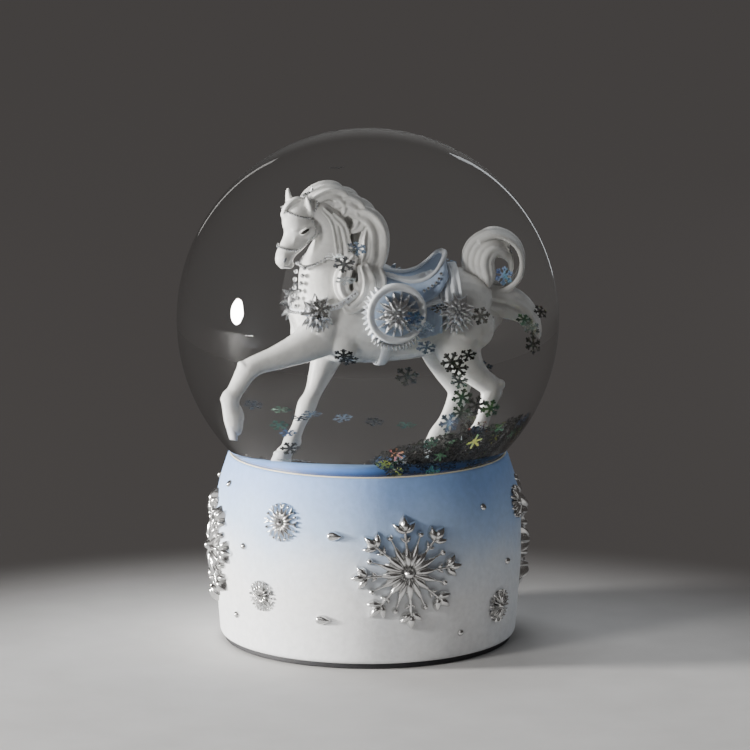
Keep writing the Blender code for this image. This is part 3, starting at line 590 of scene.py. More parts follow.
def rod(start, end, half, rise):
    """Half-round rod between two (across, up) points."""
    first, last = Vector(start), Vector(end)
    ahead = (last - first).normalized()
    side = Vector((-ahead.y, ahead.x))
    steps, columns = 4, 7
    points = []
    for step in range(steps + 1):
        spot = first.lerp(last, step / steps)
        for column in range(columns):
            angle = math.pi * column / (columns - 1)
            edge = spot + side * half * math.cos(angle)
            points.append((edge.x, edge.y, rise * math.sin(angle) if 0 < column < columns - 1 else SUNK))
    return points, grid(steps, columns)


def flower_of_ice(spin):
    """Large snowflake: eight leaf-tipped stems, eight ribbed petals with beads between them, and a dome."""
    shapes = []
    for arm in range(8):
        aim = spin + 2 * math.pi * arm / 8 + math.pi / 2
        ahead = heading(aim)
        shapes.append(rod(ahead * 5.4, ahead * 11.4, 0.5, 1.5))
        shapes.append(leaf(ahead * 10.8, aim, 4.2, 1.42, 2.5, blunt=0.8))
        for sign in (-1, 1):
            shapes.append(leaf(ahead * 10.3, aim + sign * math.radians(48), 4.1, 1.22, 2.2, blunt=0.85))
            shapes.append(leaf(ahead * 7.8, aim + sign * math.radians(40), 2.2, 0.58, 1.6, blunt=0.8))
        shapes.append(leaf(ahead * 1.1, aim, 6.6, 1.2, 2.3, blunt=0.95))
        middle = aim + math.pi / 8
        gap = heading(middle)
        shapes.append(leaf(gap * 1.1, middle, 7.6, 1.1, 1.9, blunt=0.9))
        shapes.append(rod(gap * 7.4, gap * 9.8, 0.34, 1.2))
        shapes.append(bead(gap * 10.3, 0.95, 1.9))
    shapes.append(bead((0.0, 0.0), 1.6, 3.1, 7, 24))
    return shapes


def dandelion(radius, spin):
    """Small medallion with many radiating ribs, forked tips and beads."""
    shapes = []
    count = 16
    for arm in range(count):
        aim = spin + 2 * math.pi * arm / count
        ahead = heading(aim)
        shapes.append(leaf(ahead * radius * 0.12, aim, radius * 0.74, radius * 0.085, 1.25, blunt=0.9))
        if arm % 2 == 0:
            shapes.append(bead(ahead * radius * 0.9, radius * 0.1, 1.0, 4, 10))
        else:
            for sign in (-1, 1):
                tip = heading(aim + sign * 0.13) * radius * 0.97
                shapes.append(rod(ahead * radius * 0.68, tip, radius * 0.045, 0.85))
    shapes.append(bead((0.0, 0.0), radius * 0.17, 1.65, 5, 16))
    return shapes


def laid(shapes, place):
    points, faces = merged(shapes)
    return [place(*p) for p in points], faces


def relief(name, shapes, angle, height, replaces=()):
    """Silver ornament on the base wall."""
    build(name, laid(shapes, on_wall(angle, height)), relief_silver, replaces=replaces)


# Angle round the base from the front (degrees), then spin; or height and radius.
LARGE = ((14.5, 0.07), (-81.0, 0.05), (104.0, -0.05), (192.0, 0.12))
MEDALLIONS = ((-33.6, 37.4, 5.05), (-42.5, 17.3, 4.15), (76.0, 37.9, 4.35), (58.0, 12.7, 4.5),
              (146.0, 37.6, 4.9), (150.0, 15.4, 4.25), (-124.0, 36.6, 4.7), (-128.0, 14.6, 4.35))
TEARDROPS = ((-12.0, 35.1), (-16.5, 13.0), (168.0, 35.4), (-147.0, 13.0))
BEADS = ((-68.0, 43.6), (-89.0, 43.3), (-52.0, 29.3), (-58.5, 10.2), (48.5, 39.9), (63.0, 23.9),
         (37.0, 8.0), (85.0, 43.0),
         (128.0, 28.5), (134.0, 8.6), (168.0, 8.8), (171.0, 44.0), (-148.0, 42.6), (-141.0, 26.4),
         (-108.0, 10.0), (-150.0, 7.6))


def teardrop():
    outline = ((2.1, 0.0), (1.5, 0.4), (0.7, 0.85), (-0.3, 1.25), (-1.2, 1.2), (-1.85, 0.7), (-2.05, 0.0))
    rows = list(outline) + [(x, -y) for x, y in outline[-2:0:-1]]
    middle = -0.7
    levels = ((1.0, SUNK), (1.0, 0.4), (0.88, 0.95), (0.6, 1.25), (0.3, 1.36))
    points = []
    for scale, lift in levels:
        points += [(middle + (x - middle) * scale, y * scale, lift) for x, y in rows]
    points.append((middle, 0.0, 1.4))
    count = len(rows)
    return points, skin(len(levels), count, capped=False) + fan((len(levels) - 1) * count, count)


for index, (angle, spin) in enumerate(LARGE, 1):
    relief("ice_flower_%d" % index, flower_of_ice(spin), angle, FLOWER_Z, ("relief_snowflake_%d" % index,))
for index, (angle, height, radius) in enumerate(MEDALLIONS, 1):
    relief("ice_medallion_%d" % index, dandelion(radius, index * 0.37), angle, height,
           ("relief_medallion_%d" % index,))
for index, (angle, height) in enumerate(TEARDROPS, 1):
    relief("ice_teardrop_%d" % index, [teardrop()], angle, height, ("relief_teardrop_%d" % index,))
for index, (angle, height) in enumerate(BEADS, 1):
    relief("ice_bead_%02d" % index, [bead((0.0, 0.0), 0.95, 0.95, 6, 18)], angle, height)

# ---------------------------------------------------------------- horse


def dress(name, shapes, paint, replaces=()):
    """A piece of the horse or its harness, made in the horse's own frame and turned with it."""
    return build(name, moved(merged(shapes), TURN), paint, replaces=replaces)


def mirrored(half):
    """Rows of (x, y, z) on the near side, then the same rows on the far side, in reverse."""
    return half + [(x, -y, z) for x, y, z in half[::-1] if y]


# Rows of x, y, z, half width and half depth; x runs from the nose to the tail before the horse is turned.

TRUNK = ((-11.4, 0, 83.8, 4.6, 6.4), (-8.5, 0, 84.6, 6.4, 8.4), (-4.0, 0, 85.0, 7.5, 8.9),
         (2.0, 0, 84.4, 8.0, 8.6),
         (8.0, 0, 83.8, 8.1, 7.4), (13.0, 0, 84.9, 8.1, 7.4), (17.0, 0, 86.0, 8.0, 7.9),
         (20.0, 0, 85.4, 7.3, 7.4),
         (22.0, 0, 84.0, 4.6, 5.2))
NECK = ((-6.5, 0, 86.0, 6.4, 9.0), (-7.4, 0, 90.5, 5.5, 7.0), (-8.2, 0, 94.5, 4.7, 6.1),
        (-8.0, 0, 98.0, 4.0, 4.7),
        (-7.6, -0.2, 101.3, 3.5, 3.6), (-8.4, -0.5, 104.8, 3.1, 3.5), (-10.4, -0.7, 107.6, 2.7, 3.0),
        (-12.6, -0.8, 108.9, 2.4, 2.6))
HEAD = ((-14.4, -0.7, 109.2, 2.2, 2.7), (-15.4, -0.9, 107.4, 2.6, 3.5), (-15.0, -1.2, 104.8, 2.7, 3.7),
        (-15.9, -1.6, 102.4, 2.0, 3.0),
        (-17.4, -2.1, 100.6, 1.55, 2.35), (-18.4, -2.4, 99.2, 1.6, 2.1), (-18.7, -2.6, 97.9, 1.65, 1.95),
        (-18.6, -2.6, 97.2, 1.1, 1.3))
LEG_RAISED = ((-9.0, -3.2, 83.4, 3.2, 5.4), (-14.4, -4.0, 80.2, 2.7, 3.6), (-20.6, -4.5, 77.9, 2.2, 2.6),
              (-24.6, -4.6, 76.7, 2.0, 2.2),
              (-27.6, -4.6, 75.1, 2.1, 2.35), (-29.4, -4.6, 72.6, 1.7, 2.1),
              (-31.1, -4.65, 70.2, 1.55, 1.95), (-32.3, -4.7, 68.4, 1.9, 2.6),
              (-32.5, -4.7, 66.2, 1.75, 2.4), (-32.1, -4.7, 63.8, 2.0, 2.9), (-32.4, -4.7, 61.7, 1.9, 2.5))
LEG_FORE = ((-5.6, 3.6, 82.0, 3.4, 5.2), (-7.2, 4.0, 76.8, 2.6, 3.2), (-9.0, 4.2, 71.8, 1.9, 2.0),
            (-10.0, 4.2, 69.4, 1.6, 1.65),
            (-11.1, 4.2, 67.3, 1.85, 1.9), (-12.2, 4.2, 64.8, 1.35, 1.4), (-13.1, 4.2, 62.6, 1.25, 1.3),
            (-14.2, 4.2, 60.4, 1.55, 1.65),
            (-15.0, 4.2, 59.0, 1.3, 1.4), (-15.8, 4.2, 57.8, 1.6, 1.75))
LEG_HIND_NEAR = ((16.6, -3.8, 83.4, 3.8, 7.4), (17.4, -4.3, 78.6, 3.3, 4.9), (19.4, -4.5, 75.0, 2.5, 3.1),
                 (21.6, -4.5, 72.6, 2.0, 2.3),
                 (23.9, -4.5, 70.6, 1.75, 2.15), (23.3, -4.5, 68.6, 1.55, 1.85),
                 (22.6, -4.5, 66.4, 1.3, 1.5), (21.9, -4.5, 64.2, 1.25, 1.4),
                 (21.2, -4.5, 62.2, 1.55, 1.8), (20.4, -4.5, 60.4, 1.35, 1.5), (19.7, -4.5, 58.8, 1.7, 1.95))
LEG_HIND_FAR = ((15.0, 3.8, 83.0, 3.8, 6.8), (15.4, 4.2, 77.6, 3.1, 4.4), (16.6, 4.5, 73.6, 2.3, 2.9),
                (18.1, 4.5, 70.6, 1.85, 2.2),
                (18.3, 4.5, 69.0, 1.7, 2.0), (17.2, 4.5, 66.6, 1.35, 1.6), (15.9, 4.5, 64.2, 1.25, 1.4),
                (14.5, 4.5, 61.8, 1.5, 1.75),
                (13.3, 4.5, 60.0, 1.35, 1.5), (12.4, 4.5, 58.6, 1.7, 1.9))


def hoof(top, toe, heel, width):
    """Hoof from its crown at top down to a flat sole between toe and heel (x, z pairs)."""
    (tx, ty, tz), (ax, az), (bx, bz) = top, toe, heel
    crown_long, crown_wide = 1.75, 1.7
    points = []
    sides = 24
    profile = ((0.0, 0.96), (0.06, 1.06), (0.16, 1.07), (0.24, 0.98), (0.6, 1.0), (0.94, 1.0), (1.0, 0.96))
    for t, flare in profile:
        cx = tx + ((ax + bx) / 2 - tx) * t
        cz = tz + ((az + bz) / 2 - tz) * t
        long_half = crown_long + (abs(ax - bx) / 2 - crown_long) * t
        wide_half = crown_wide + (width - crown_wide) * t
        slope = (az - bz) / (ax - bx) if abs(ax - bx) > 0.1 else 0.0
        for step in range(sides):
            angle = 2 * math.pi * step / sides
            dx = long_half * math.cos(angle) * flare
            points.append((cx + dx, ty + wide_half * math.sin(angle) * flare, cz + dx * slope * t))
    return points, skin(len(profile), sides)


def lump(x, y, z, rx, ry, rz, lean=0.0, swing=0.0):
    turn = Matrix.Rotation(math.radians(swing), 3, "Z") @ Matrix.Rotation(math.radians(lean), 3, "Y")
    return ball((x, y, z), (rx, ry, rz), turn=turn)


body_parts = [tube(rows, 28, 4) for rows in (TRUNK, NECK, HEAD, LEG_RAISED, LEG_FORE, LEG_HIND_NEAR,
                                             LEG_HIND_FAR)]
for side in (-1, 1):
    body_parts += [
        lump(-10.2, 4.0 * side, 84.4, 3.9, 3.0, 5.6, 18), lump(-6.0, 4.6 * side, 80.6, 3.0, 2.6, 3.4),
        lump(17.6, 4.4 * side, 84.4, 5.4, 3.9, 6.2, -12), lump(20.6, 4.0 * side, 82.6, 4.0, 3.0, 4.4),
        lump(-13.2, 1.7 * side, 82.4, 2.2, 1.9, 3.2),
        lump(-13.2, -1.1 + 1.5 * side, 104.2, 2.3, 1.35, 2.4),
        lump(-15.8, -1.4 + 1.75 * side, 105.2, 1.7, 0.75, 0.75, -20),
        lump(-16.8, -2.0 + 1.15 * side, 102.2, 0.5, 0.5, 2.0, 14),
        lump(-19.0, -2.5 + 1.15 * side, 98.7, 1.0, 0.7, 1.1, 10),
    ]
body_parts += [lump(-17.4, -0.9, 107.9, 2.0, 1.6, 1.5), lump(-19.0, -2.6, 97.3, 1.2, 1.3, 0.7, 20),
               lump(-17.5, -2.6, 96.9, 1.2, 1.1, 0.75, -10)]
EARS = (((-13.0, -2.1, 107.8, 1.15, 0.9), (-13.4, -2.5, 109.6, 1.2, 0.75), (-13.9, -2.6, 111.2, 0.75, 0.5),
         (-14.2, -2.6, 112.1, 0.2, 0.2)),
        ((-16.9, 0.1, 109.2, 1.15, 0.9), (-17.2, 0.4, 111.2, 1.2, 0.75), (-17.5, 0.5, 112.9, 0.75, 0.5),
         (-17.6, 0.5, 113.9, 0.2, 0.2)))
for rows in EARS:
    body_parts.append(tube(rows, 14, 4))
# fetlock feather, knee caps and hock points
body_parts += [lump(-34.0, -4.7, 68.6, 1.4, 1.2, 0.9, -28), lump(-28.7, -4.6, 76.2, 1.3, 1.6, 1.0, 40),
               lump(-30.0, -4.7, 66.0, 1.0, 1.2, 2.4, -18),
               lump(25.3, -4.5, 71.2, 1.2, 1.1, 1.3, 40), lump(19.6, 4.5, 70.6, 1.1, 1.1, 1.3, 40),
               lump(-11.9, 4.2, 67.8, 1.0, 1.3, 1.5, 20), lump(-13.0, 4.2, 60.4, 0.9, 1.1, 1.1),
               lump(22.4, -4.5, 61.8, 0.9, 1.1, 1.2)]
horse = dress("horse_body", body_parts, horse_paint, ("horse_figurine",))
fuse(horse, 0.3, 5, 0.5)

hooves = [hoof((-15.9, 4.2, 58.3), (-19.2, PLATFORM_Z), (-14.6, PLATFORM_Z), 2.1),
          hoof((19.6, -4.5, 59.2), (16.2, PLATFORM_Z), (21.6, PLATFORM_Z), 2.3),
          hoof((12.2, 4.5, 59.0), (9.0, PLATFORM_Z), (14.2, PLATFORM_Z), 2.3)]
tip = hoof((0.4, 0.0, 2.2), (-2.0, -1.9), (0.7, -1.9), 1.5)
hooves.append(moved(tip, Matrix.Translation((-32.9, -4.7, 60.1))
                    @ Matrix.Rotation(math.radians(-10), 4, "Y")))
dress("horse_hooves", hooves, hoof_paint)


def lock(rows, y, ridges=5, depth=0.27, twist=1.6, sides=30, flat=0.8):
    """Hair lock from (x, z, radius, y offset) rows, with grooves along it."""
    return tube([(x, y + dy, z, r * flat, r) for x, z, r, dy in rows], sides, 6, ridges, depth, twist)


def locks(rows, y, *style):
    """The same lock on the near side and on the far side."""
    return [lock(rows, y, *style), lock([(x, z, r, -dy) for x, z, r, dy in rows], -y, *style)]


MANE = (
    (((-13.6, 109.2, 1.0, 0), (-11.8, 111.0, 1.4, 0), (-9.0, 111.9, 1.6, 0), (-6.6, 111.3, 1.6, -0.2),
      (-5.2, 109.4, 1.4, -0.6),
      (-5.4, 107.4, 0.9, -0.9), (-6.4, 106.6, 0.4, -1.0)), -1.5),
    (((-7.0, 109.6, 1.2, 0.6), (-4.6, 109.9, 1.5, 0.2), (-2.8, 108.6, 1.6, 0), (-2.2, 106.4, 1.5, -0.5),
      (-3.0, 104.2, 1.1, -0.9),
      (-4.6, 103.4, 0.5, -1.0)), -2.4),
    (((-4.0, 107.4, 1.2, 1.0), (-0.9, 106.4, 1.8, 0.3), (0.8, 103.8, 2.15, 0), (1.0, 100.4, 2.3, -0.2),
      (0.5, 97.4, 2.1, -0.6),
      (-1.1, 95.6, 1.6, -0.9), (-2.9, 96.0, 1.0, -1.0), (-3.2, 97.4, 0.45, -0.9)), -3.6),
    (((-1.0, 103.4, 1.0, 0.6), (-1.6, 101.4, 1.2, 0), (-1.9, 99.2, 1.1, -0.3), (-2.4, 97.4, 0.6, -0.4)),
     -4.6),
    (((-10.4, 108.6, 0.8, 0.3), (-8.6, 106.4, 0.9, 0), (-7.8, 103.6, 0.9, 0), (-7.4, 100.6, 0.9, -0.3),
      (-7.2, 97.8, 0.8, -0.6)), -3.0),
    (((-8.2, 107.2, 0.8, 0.3), (-6.2, 105.0, 0.9, 0), (-5.4, 102.0, 0.9, -0.2), (-5.0, 99.0, 0.9, -0.5),
      (-5.4, 96.4, 0.8, -0.8)), -3.3),
    (((-4.2, 98.0, 1.1, 0.2), (-5.8, 96.2, 1.45, 0), (-6.9, 93.6, 1.5, -0.4), (-6.5, 91.1, 1.35, -0.7),
      (-4.8, 90.3, 1.1, -0.9),
      (-3.7, 91.6, 0.8, -0.8), (-4.3, 93.2, 0.4, -0.7)), -5.1),
    (((-2.2, 96.2, 1.3, 0.4), (-1.6, 93.6, 1.6, 0), (-2.1, 91.0, 1.55, -0.4), (-3.6, 88.9, 1.35, -0.7),
      (-5.6, 87.9, 1.05, -0.9),
      (-6.6, 88.8, 0.7, -0.8), (-6.0, 90.0, 0.35, -0.8)), -6.3),
    (((0.4, 95.6, 1.3, 0.8), (1.0, 93.2, 1.45, 0.1), (0.4, 90.9, 1.3, -0.4), (-0.9, 88.9, 1.0, -0.9),
      (-0.7, 86.9, 0.4, -1.0)), -5.8),
)
FORELOCK = (
    (((-14.4, 110.2, 0.9, 0), (-15.8, 110.8, 1.2, -0.2), (-17.4, 110.4, 1.1, -0.4),
      (-18.6, 109.2, 0.8, -0.6), (-19.0, 108.2, 0.3, -0.6)), -1.0),
    (((-14.2, 109.8, 0.9, 0), (-15.6, 109.8, 1.0, 0.2), (-17.2, 109.4, 0.9, 0.2), (-18.3, 108.2, 0.3, 0.2)),
     -0.2),
)
hair = []
for rows, y in MANE:
    hair += locks(rows, y)
for rows, y in FORELOCK:
    hair.append(lock(rows, y, 3, 0.12))
crest = ((-12.6, -0.4, 109.6, 1.8, 1.2), (-9.0, -0.2, 109.7, 2.2, 1.6), (-5.0, 0, 107.6, 2.4, 2.0),
         (-2.2, 0, 104.4, 2.4, 2.2),
         (-1.6, 0, 100.0, 2.6, 2.2), (-2.2, 0, 96.0, 3.0, 2.6), (-3.4, 0, 92.6, 4.4, 2.8))
hair.append(tube(crest, 28, 6, 9, 0.06, 0.8))
mane = dress("horse_mane", hair, horse_paint)
fuse(mane, 0.18, 1, 0.4)

hair = []
for index in range(5):
    k = float(index)
    near = -(0.7 + 0.72 * k) if index < 4 else -2.6
    rows = ((22.4 + 0.4 * k, 89.6 + 0.4 * k, 0.75, 0.4), (20.6 + 0.95 * k, 92.2 + 0.1 * k, 0.98, 0.0),
            (19.7 + 1.12 * k, 95.2, 1.05, 0.0),
            (20.7 + 1.0 * k, 98.3 - 0.4 * k, 1.05, 0.0), (23.3 + 0.6 * k, 100.3 - 0.8 * k, 0.95, 0.2),
            (26.0 + 0.3 * k, 100.6 - 1.05 * k, 0.75, 0.5), (28.4 - 0.1 * k, 99.2 - 1.0 * k, 0.4, 0.9))
    hair += locks(rows, near, 2, 0.1, 0.6, 24, 1.1)
roll = ((22.4, 0, 99.6), (25.2, 0, 100.7), (28.2, 0, 99.9), (30.3, 0, 97.8), (30.9, 0, 94.9),
        (30.0, 0, 91.8), (27.6, 0, 89.7), (24.6, 0, 89.2),
        (22.2, 0, 90.4))
hair.append(tube([(x, y, z, 2.5, 0.62) for x, y, z in roll], 28, 6))
for sign in (-1, 1):
    hair.append(tube([(x, 2.3 * sign, z, 0.42, 0.62) for x, _, z in roll], 12, 6))
    hair.append(tube([(22.6, 1.6 * sign, 97.6, 0.7, 0.7), (25.2, 1.9 * sign, 98.4, 0.7, 0.7),
                      (27.4, 1.9 * sign, 97.4, 0.6, 0.6),
                      (28.5, 1.7 * sign, 95.0, 0.5, 0.6), (28.0, 1.4 * sign, 92.2, 0.4, 0.5),
                      (26.4, 1.2 * sign, 90.4, 0.3, 0.4)], 14, 6))
FALL = (
    (((18.6, 88.6, 1.9, 0.6), (21.8, 89.0, 2.1, 0), (25.2, 88.1, 2.1, -0.2), (28.6, 87.0, 1.9, -0.2),
      (31.2, 85.0, 1.5, 0), (32.9, 82.2, 0.9, 0),
      (33.6, 79.6, 0.25, 0)), -1.3),
    (((20.4, 86.6, 1.6, 0.6), (23.6, 86.4, 1.8, 0), (26.8, 85.6, 1.5, -0.2), (29.4, 84.2, 1.0, 0),
      (30.8, 82.2, 0.3, 0)), -2.1),
    (((19.4, 89.6, 1.5, 0.2), (20.0, 91.8, 1.4, 0.2), (20.6, 93.6, 0.9, 0.2)), -1.0),
)
for rows, y in FALL:
    hair += locks(rows, y, 4, 0.16, 1.2)
tail = dress("horse_tail_locks", hair, horse_paint)
fuse(tail, 0.18, 1, 0.4)

# eyes, nostrils and mouth line
face = [lump(-14.6, -3.88, 104.4, 1.0, 0.3, 0.46, -28), lump(-16.4, 1.15, 104.8, 0.8, 0.3, 0.42, -28)]
dress("horse_eyes", face, dark_paint)
lids = [tube([(-15.7, -3.55, 103.9, 0.14, 0.14), (-15.2, -3.95, 104.6, 0.2, 0.2),
              (-14.4, -4.1, 105.1, 0.22, 0.22), (-13.5, -3.95, 105.2, 0.14, 0.14)], 8, 5),
        tube([(-15.6, -3.6, 103.7, 0.1, 0.1), (-14.8, -3.95, 103.7, 0.16, 0.16),
              (-13.9, -3.98, 104.3, 0.14, 0.14)], 8, 5),
        tube([(-17.4, 0.9, 104.4, 0.14, 0.14), (-16.6, 1.3, 105.3, 0.2, 0.2),
              (-15.5, 1.25, 105.4, 0.14, 0.14)], 8, 5)]
dress("horse_eyelids", lids, horse_paint)
nostrils = [lump(-19.0, -4.2, 98.5, 0.3, 0.16, 0.6, 24), lump(-19.6, -1.1, 98.7, 0.28, 0.16, 0.55, 24),
            lump(-18.3, -4.05, 96.95, 0.9, 0.12, 0.12, 12)]
dress("horse_nostrils", nostrils, shade_paint)
inner_ears = [lump(-13.6, -3.1, 109.9, 0.42, 0.22, 1.2, 8), lump(-17.3, -0.25, 111.3, 0.4, 0.22, 1.2, 5)]
dress("horse_inner_ears", inner_ears, shade_paint)

# ---------------------------------------------------------------- saddle and harness


def strap(path, half, lift, steps=6, side=(0, 0, 1)):
    """Flat round-edged strap along rows of (x, y, z)."""
    return tube([(x, y, z, half, lift) for x, y, z in path], 12, steps, side=side)


TRUNK_FINE = spline([list(row) for row in TRUNK], 8)


def trunk_at(x):
    return min(TRUNK_FINE, key=lambda row: abs(row[0] - x))


def on_trunk(x, grow, angle):
    """Point at this angle from the top, grown out of the trunk's skin."""
    row = trunk_at(x)
    return x, (row[3] + grow) * math.sin(angle), row[2] + (row[4] + grow) * math.cos(angle)


def wrap_sheet(columns, rows, top, thickness):
    """Closed sheet: top(i, j) gives a point and an outward direction; the sheet has this thickness."""
    points, faces = [], []
    for layer in (0.0, -thickness):
        for i in range(columns + 1):
            for j in range(rows + 1):
                spot, out = top(i / columns, j / rows)
                points.append(tuple(Vector(spot) + Vector(out).normalized() * layer))
    width = rows + 1
    size = (columns + 1) * width
    for i in range(columns):
        for j in range(rows):
            a = i * width + j
            faces.append((a, a + 1, a + width + 1, a + width))
            faces.append((size + a, size + a + width, size + a + width + 1, size + a + 1))
    for i in range(columns):
        for j in (0, rows):
            a = i * width + j
            faces.append((a, a + width, size + a + width, size + a))
    for j in range(rows):
        for i in (0, columns):
            a = i * width + j
            faces.append((a, a + 1, size + a + 1, size + a))
    return points, faces


def skirt(lift, low, left, right, ripple=0.0, waves=0):
    """Cloth laid over the trunk between two x stations, hanging to an angle each side."""
    def top(s, t):
        angle = math.radians(-low + 2 * low * t)
        hang = lift + ripple * math.cos(waves * 2 * math.pi * s) * abs(math.sin(angle)) ** 2
        return on_trunk(left + (right - left) * s, hang, angle), (0.0, math.sin(angle), math.cos(angle))
    return wrap_sheet(44, 48, top, 0.5)


dress("saddle_blanket", [skirt(0.75, 108, -1.2, 13.4, 0.12, 9)], seat_paint, ("saddle_and_blanket",))
dress("saddle_skirt", [skirt(1.25, 62, 0.2, 13.0)], rim_paint)
dress("blanket_pleats", [skirt(1.0, 84, 13.2, 17.6, 0.5, 3)], rim_paint)

RIM = ((1.4, 94.9, 2.6), (2.2, 94.3, 3.9), (4.4, 93.3, 4.7), (7.8, 92.5, 5.1), (10.6, 92.9, 5.2),
       (12.8, 94.3, 4.9), (14.4, 96.2, 3.6), (15.2, 97.0, 1.8))
RIM_FINE = spline([list(row) for row in RIM], 8)


def rim_at(s):
    place = s * (len(RIM_FINE) - 1)
    low = min(int(place), len(RIM_FINE) - 2)
    return [a + (b - a) * (place - low) for a, b in zip(RIM_FINE[low], RIM_FINE[low + 1])]


def seat_top(s, t):
    x, z, half = rim_at(s)
    across = -1.0 + 2.0 * t
    reach = abs(across)
    sign = 1.0 if across >= 0 else -1.0
    dish = 0.9 + 0.7 * math.sin(math.pi * s)
    if reach <= 0.6:
        u = reach / 0.6
        return (x + 0.5 * (1 - u) * s * s, sign * half * u, z - dish * (1 - u * u)), (0.0, sign * u * -0.4,
                1.0)
    u = (reach - 0.6) / 0.4
    spread = 0.5 + 2.4 * math.sin(math.pi / 2 * u)
    return (x + 0.3 * u, sign * (half + spread * u), z - 0.2 * u - 3.6 * u * u), (0.0, sign * (0.3 + u),
            1.0 - 0.6 * u)


dress("saddle_seat", [wrap_sheet(48, 44, seat_top, 0.6)], seat_paint)
piping = []
for sign in (-1, 1):
    piping.append(tube([(x, sign * half, z + 0.1, 0.42, 0.42) for x, z, half in RIM], 12, 6, side=(0, 0, 1)))
piping.append(tube([(15.1, -2.0, 96.9, 0.5, 0.5), (15.4, 0, 97.1, 0.6, 0.6), (15.1, 2.0, 96.9, 0.5, 0.5)],
                   12, 6, side=(0, 0, 1)))
piping.append(tube([(1.5, -2.8, 94.8, 0.5, 0.5), (0.9, 0, 95.4, 0.8, 0.8), (1.5, 2.8, 94.8, 0.5, 0.5)], 12,
                   6, side=(0, 0, 1)))
dress("saddle_piping", piping, rim_paint)
hems = []
for angle in (-62, 62):
    edge = [on_trunk(x, 1.25, math.radians(angle)) for x in (0.2, 3.2, 6.4, 9.6, 13.0)]
    hems.append(strap(edge, 0.42, 0.32))
dress("skirt_hem", hems, rim_paint)


def girth(x, grow, low, high):
    """Points round the trunk at one x, between two angles from the top."""
    count = 40
    return [on_trunk(x, grow, math.radians(low + (high - low) * i / count)) for i in range(count + 1)]


def petals(radius, count, length, half, rise, start=0.0, lift=0.0, spread=360.0):
    """Leaves round a circle, or round a part of it, that point outwards."""
    out = []
    for index in range(count):
        aim = math.radians(start + spread * index / count)
        out.append(leaf(heading(aim) * radius, aim, length, half, rise, lift))
    return out


FLAP = (3.6, 87.1)
HIP = (16.4, 86.9)
CHEST = (-12.3, 87.7)
for label, side in (("near", 1), ("far", -1)):
    lie = Matrix.Translation((FLAP[0], 0.0, FLAP[1])) @ Matrix.Rotation(math.radians(90 * side), 4, "X")
    disc = turned(((0.0, 10.9), (2.0, 10.85), (3.8, 10.6), (4.7, 10.3), (5.05, 10.25), (5.3, 10.5),
                   (5.75, 10.75), (6.2, 10.6), (6.35, 10.2),
                   (6.3, 9.4), (5.6, 8.8), (0.0, 8.6)), 72)
    build("saddle_flap_" + label, moved(disc, TURN @ lie), rim_paint,
          replaces=("side_medallion_" + label,))
    inlay = turned(((0.0, 10.98), (2.4, 10.92), (3.9, 10.68), (4.75, 10.4), (4.75, 10.1), (0.0, 10.2)), 64)
    build("flap_inlay_" + label, moved(inlay, TURN @ lie), seat_paint)
    star = petals(0.5, 8, 4.3, 1.0, 1.3, 11.0) + petals(0.4, 8, 3.1, 0.75, 1.6, 33.5, 0.3)
    star += petals(3.1, 16, 1.7, 0.42, 0.95, 11.0, 0.1) + [bead((0.0, 0.0), 0.85, 2.1, 6, 18)]
    build("flap_snowflake_" + label, laid(star, on_disc(*FLAP, 10.75, side)), silver)
    pleats = []
    for index in range(12):
        aim = math.radians((128 if side > 0 else -52) + 108 * index / 11)
        pleats.append(leaf(heading(aim) * 5.7, aim, 1.6, 0.62, 0.6, 0.1, blunt=0.4))
    build("flap_pleats_" + label, laid(pleats, on_disc(*FLAP, 9.6, side)), rim_paint)
    fringe = []
    for index in range(15):
        aim = math.radians(-90 + 84 * (index / 14 - 0.5))
        fringe.append(leaf(heading(aim) * 6.0, aim, 1.9, 0.34, 0.6, 0.05))
    build("flap_fringe_" + label, laid(fringe, on_disc(*FLAP, 9.3, side)), silver)
    for name, (x, z), radius, out in (("chest", CHEST, 3.3, 6.3), ("hip", HIP, 3.4, 8.4)):
        pad = turned(((0.0, out + 0.7), (radius * 0.45, out + 0.6), (radius * 0.7, out + 0.2),
                      (radius * 0.75, out - 1.4), (0.0, out - 1.4)), 32)
        lie = Matrix.Translation((x, 0.0, z)) @ Matrix.Rotation(math.radians(90 * side), 4, "X")
        build(name + "_boss_" + label, moved(pad, TURN @ lie), silver,
              replaces=(name + "_rosette_" + label,))
        star = petals(1.0, 8, radius - 0.5, 0.85, 0.9, 10.0, 0.2) + petals(0.7, 8, radius * 0.62, 0.66, 1.3,
                32.5, 0.5)
        star += petals(0.3, 6, radius * 0.4, 0.5, 1.6, 0.0, 0.6) + [bead((0.0, 0.0), 0.6, 2.2, 5, 14)]
        star += petals(radius * 0.72, 7, radius * 0.66, 0.46, 0.7, 222.0, 0.0, 111.0)
        build(name + "_snowflake_" + label, laid(star, on_disc(x, z, out + 0.2, side)), silver)

harness = [strap(girth(2.2, 0.2, 72, 288), 1.0, 0.3, 1, (1.0, 0.0, 0.0))]
collar = mirrored([(-4.0, -6.9, 91.2), (-7.0, -7.3, 89.2), (-10.0, -7.0, 88.2), (-13.2, -4.9, 87.2),
                   (-15.0, -2.2, 86.8), (-15.6, 0, 86.7)])
harness.append(strap(collar, 0.7, 0.3))
breech = mirrored([(13.4, -8.6, 87.4), (17.0, -8.5, 86.6), (21.2, -6.6, 85.2), (24.4, -3.2, 84.4),
                   (26.0, 0, 84.2)])
harness.append(strap(breech, 0.55, 0.3))
dress("harness_straps", harness, rim_paint)

pearls = []


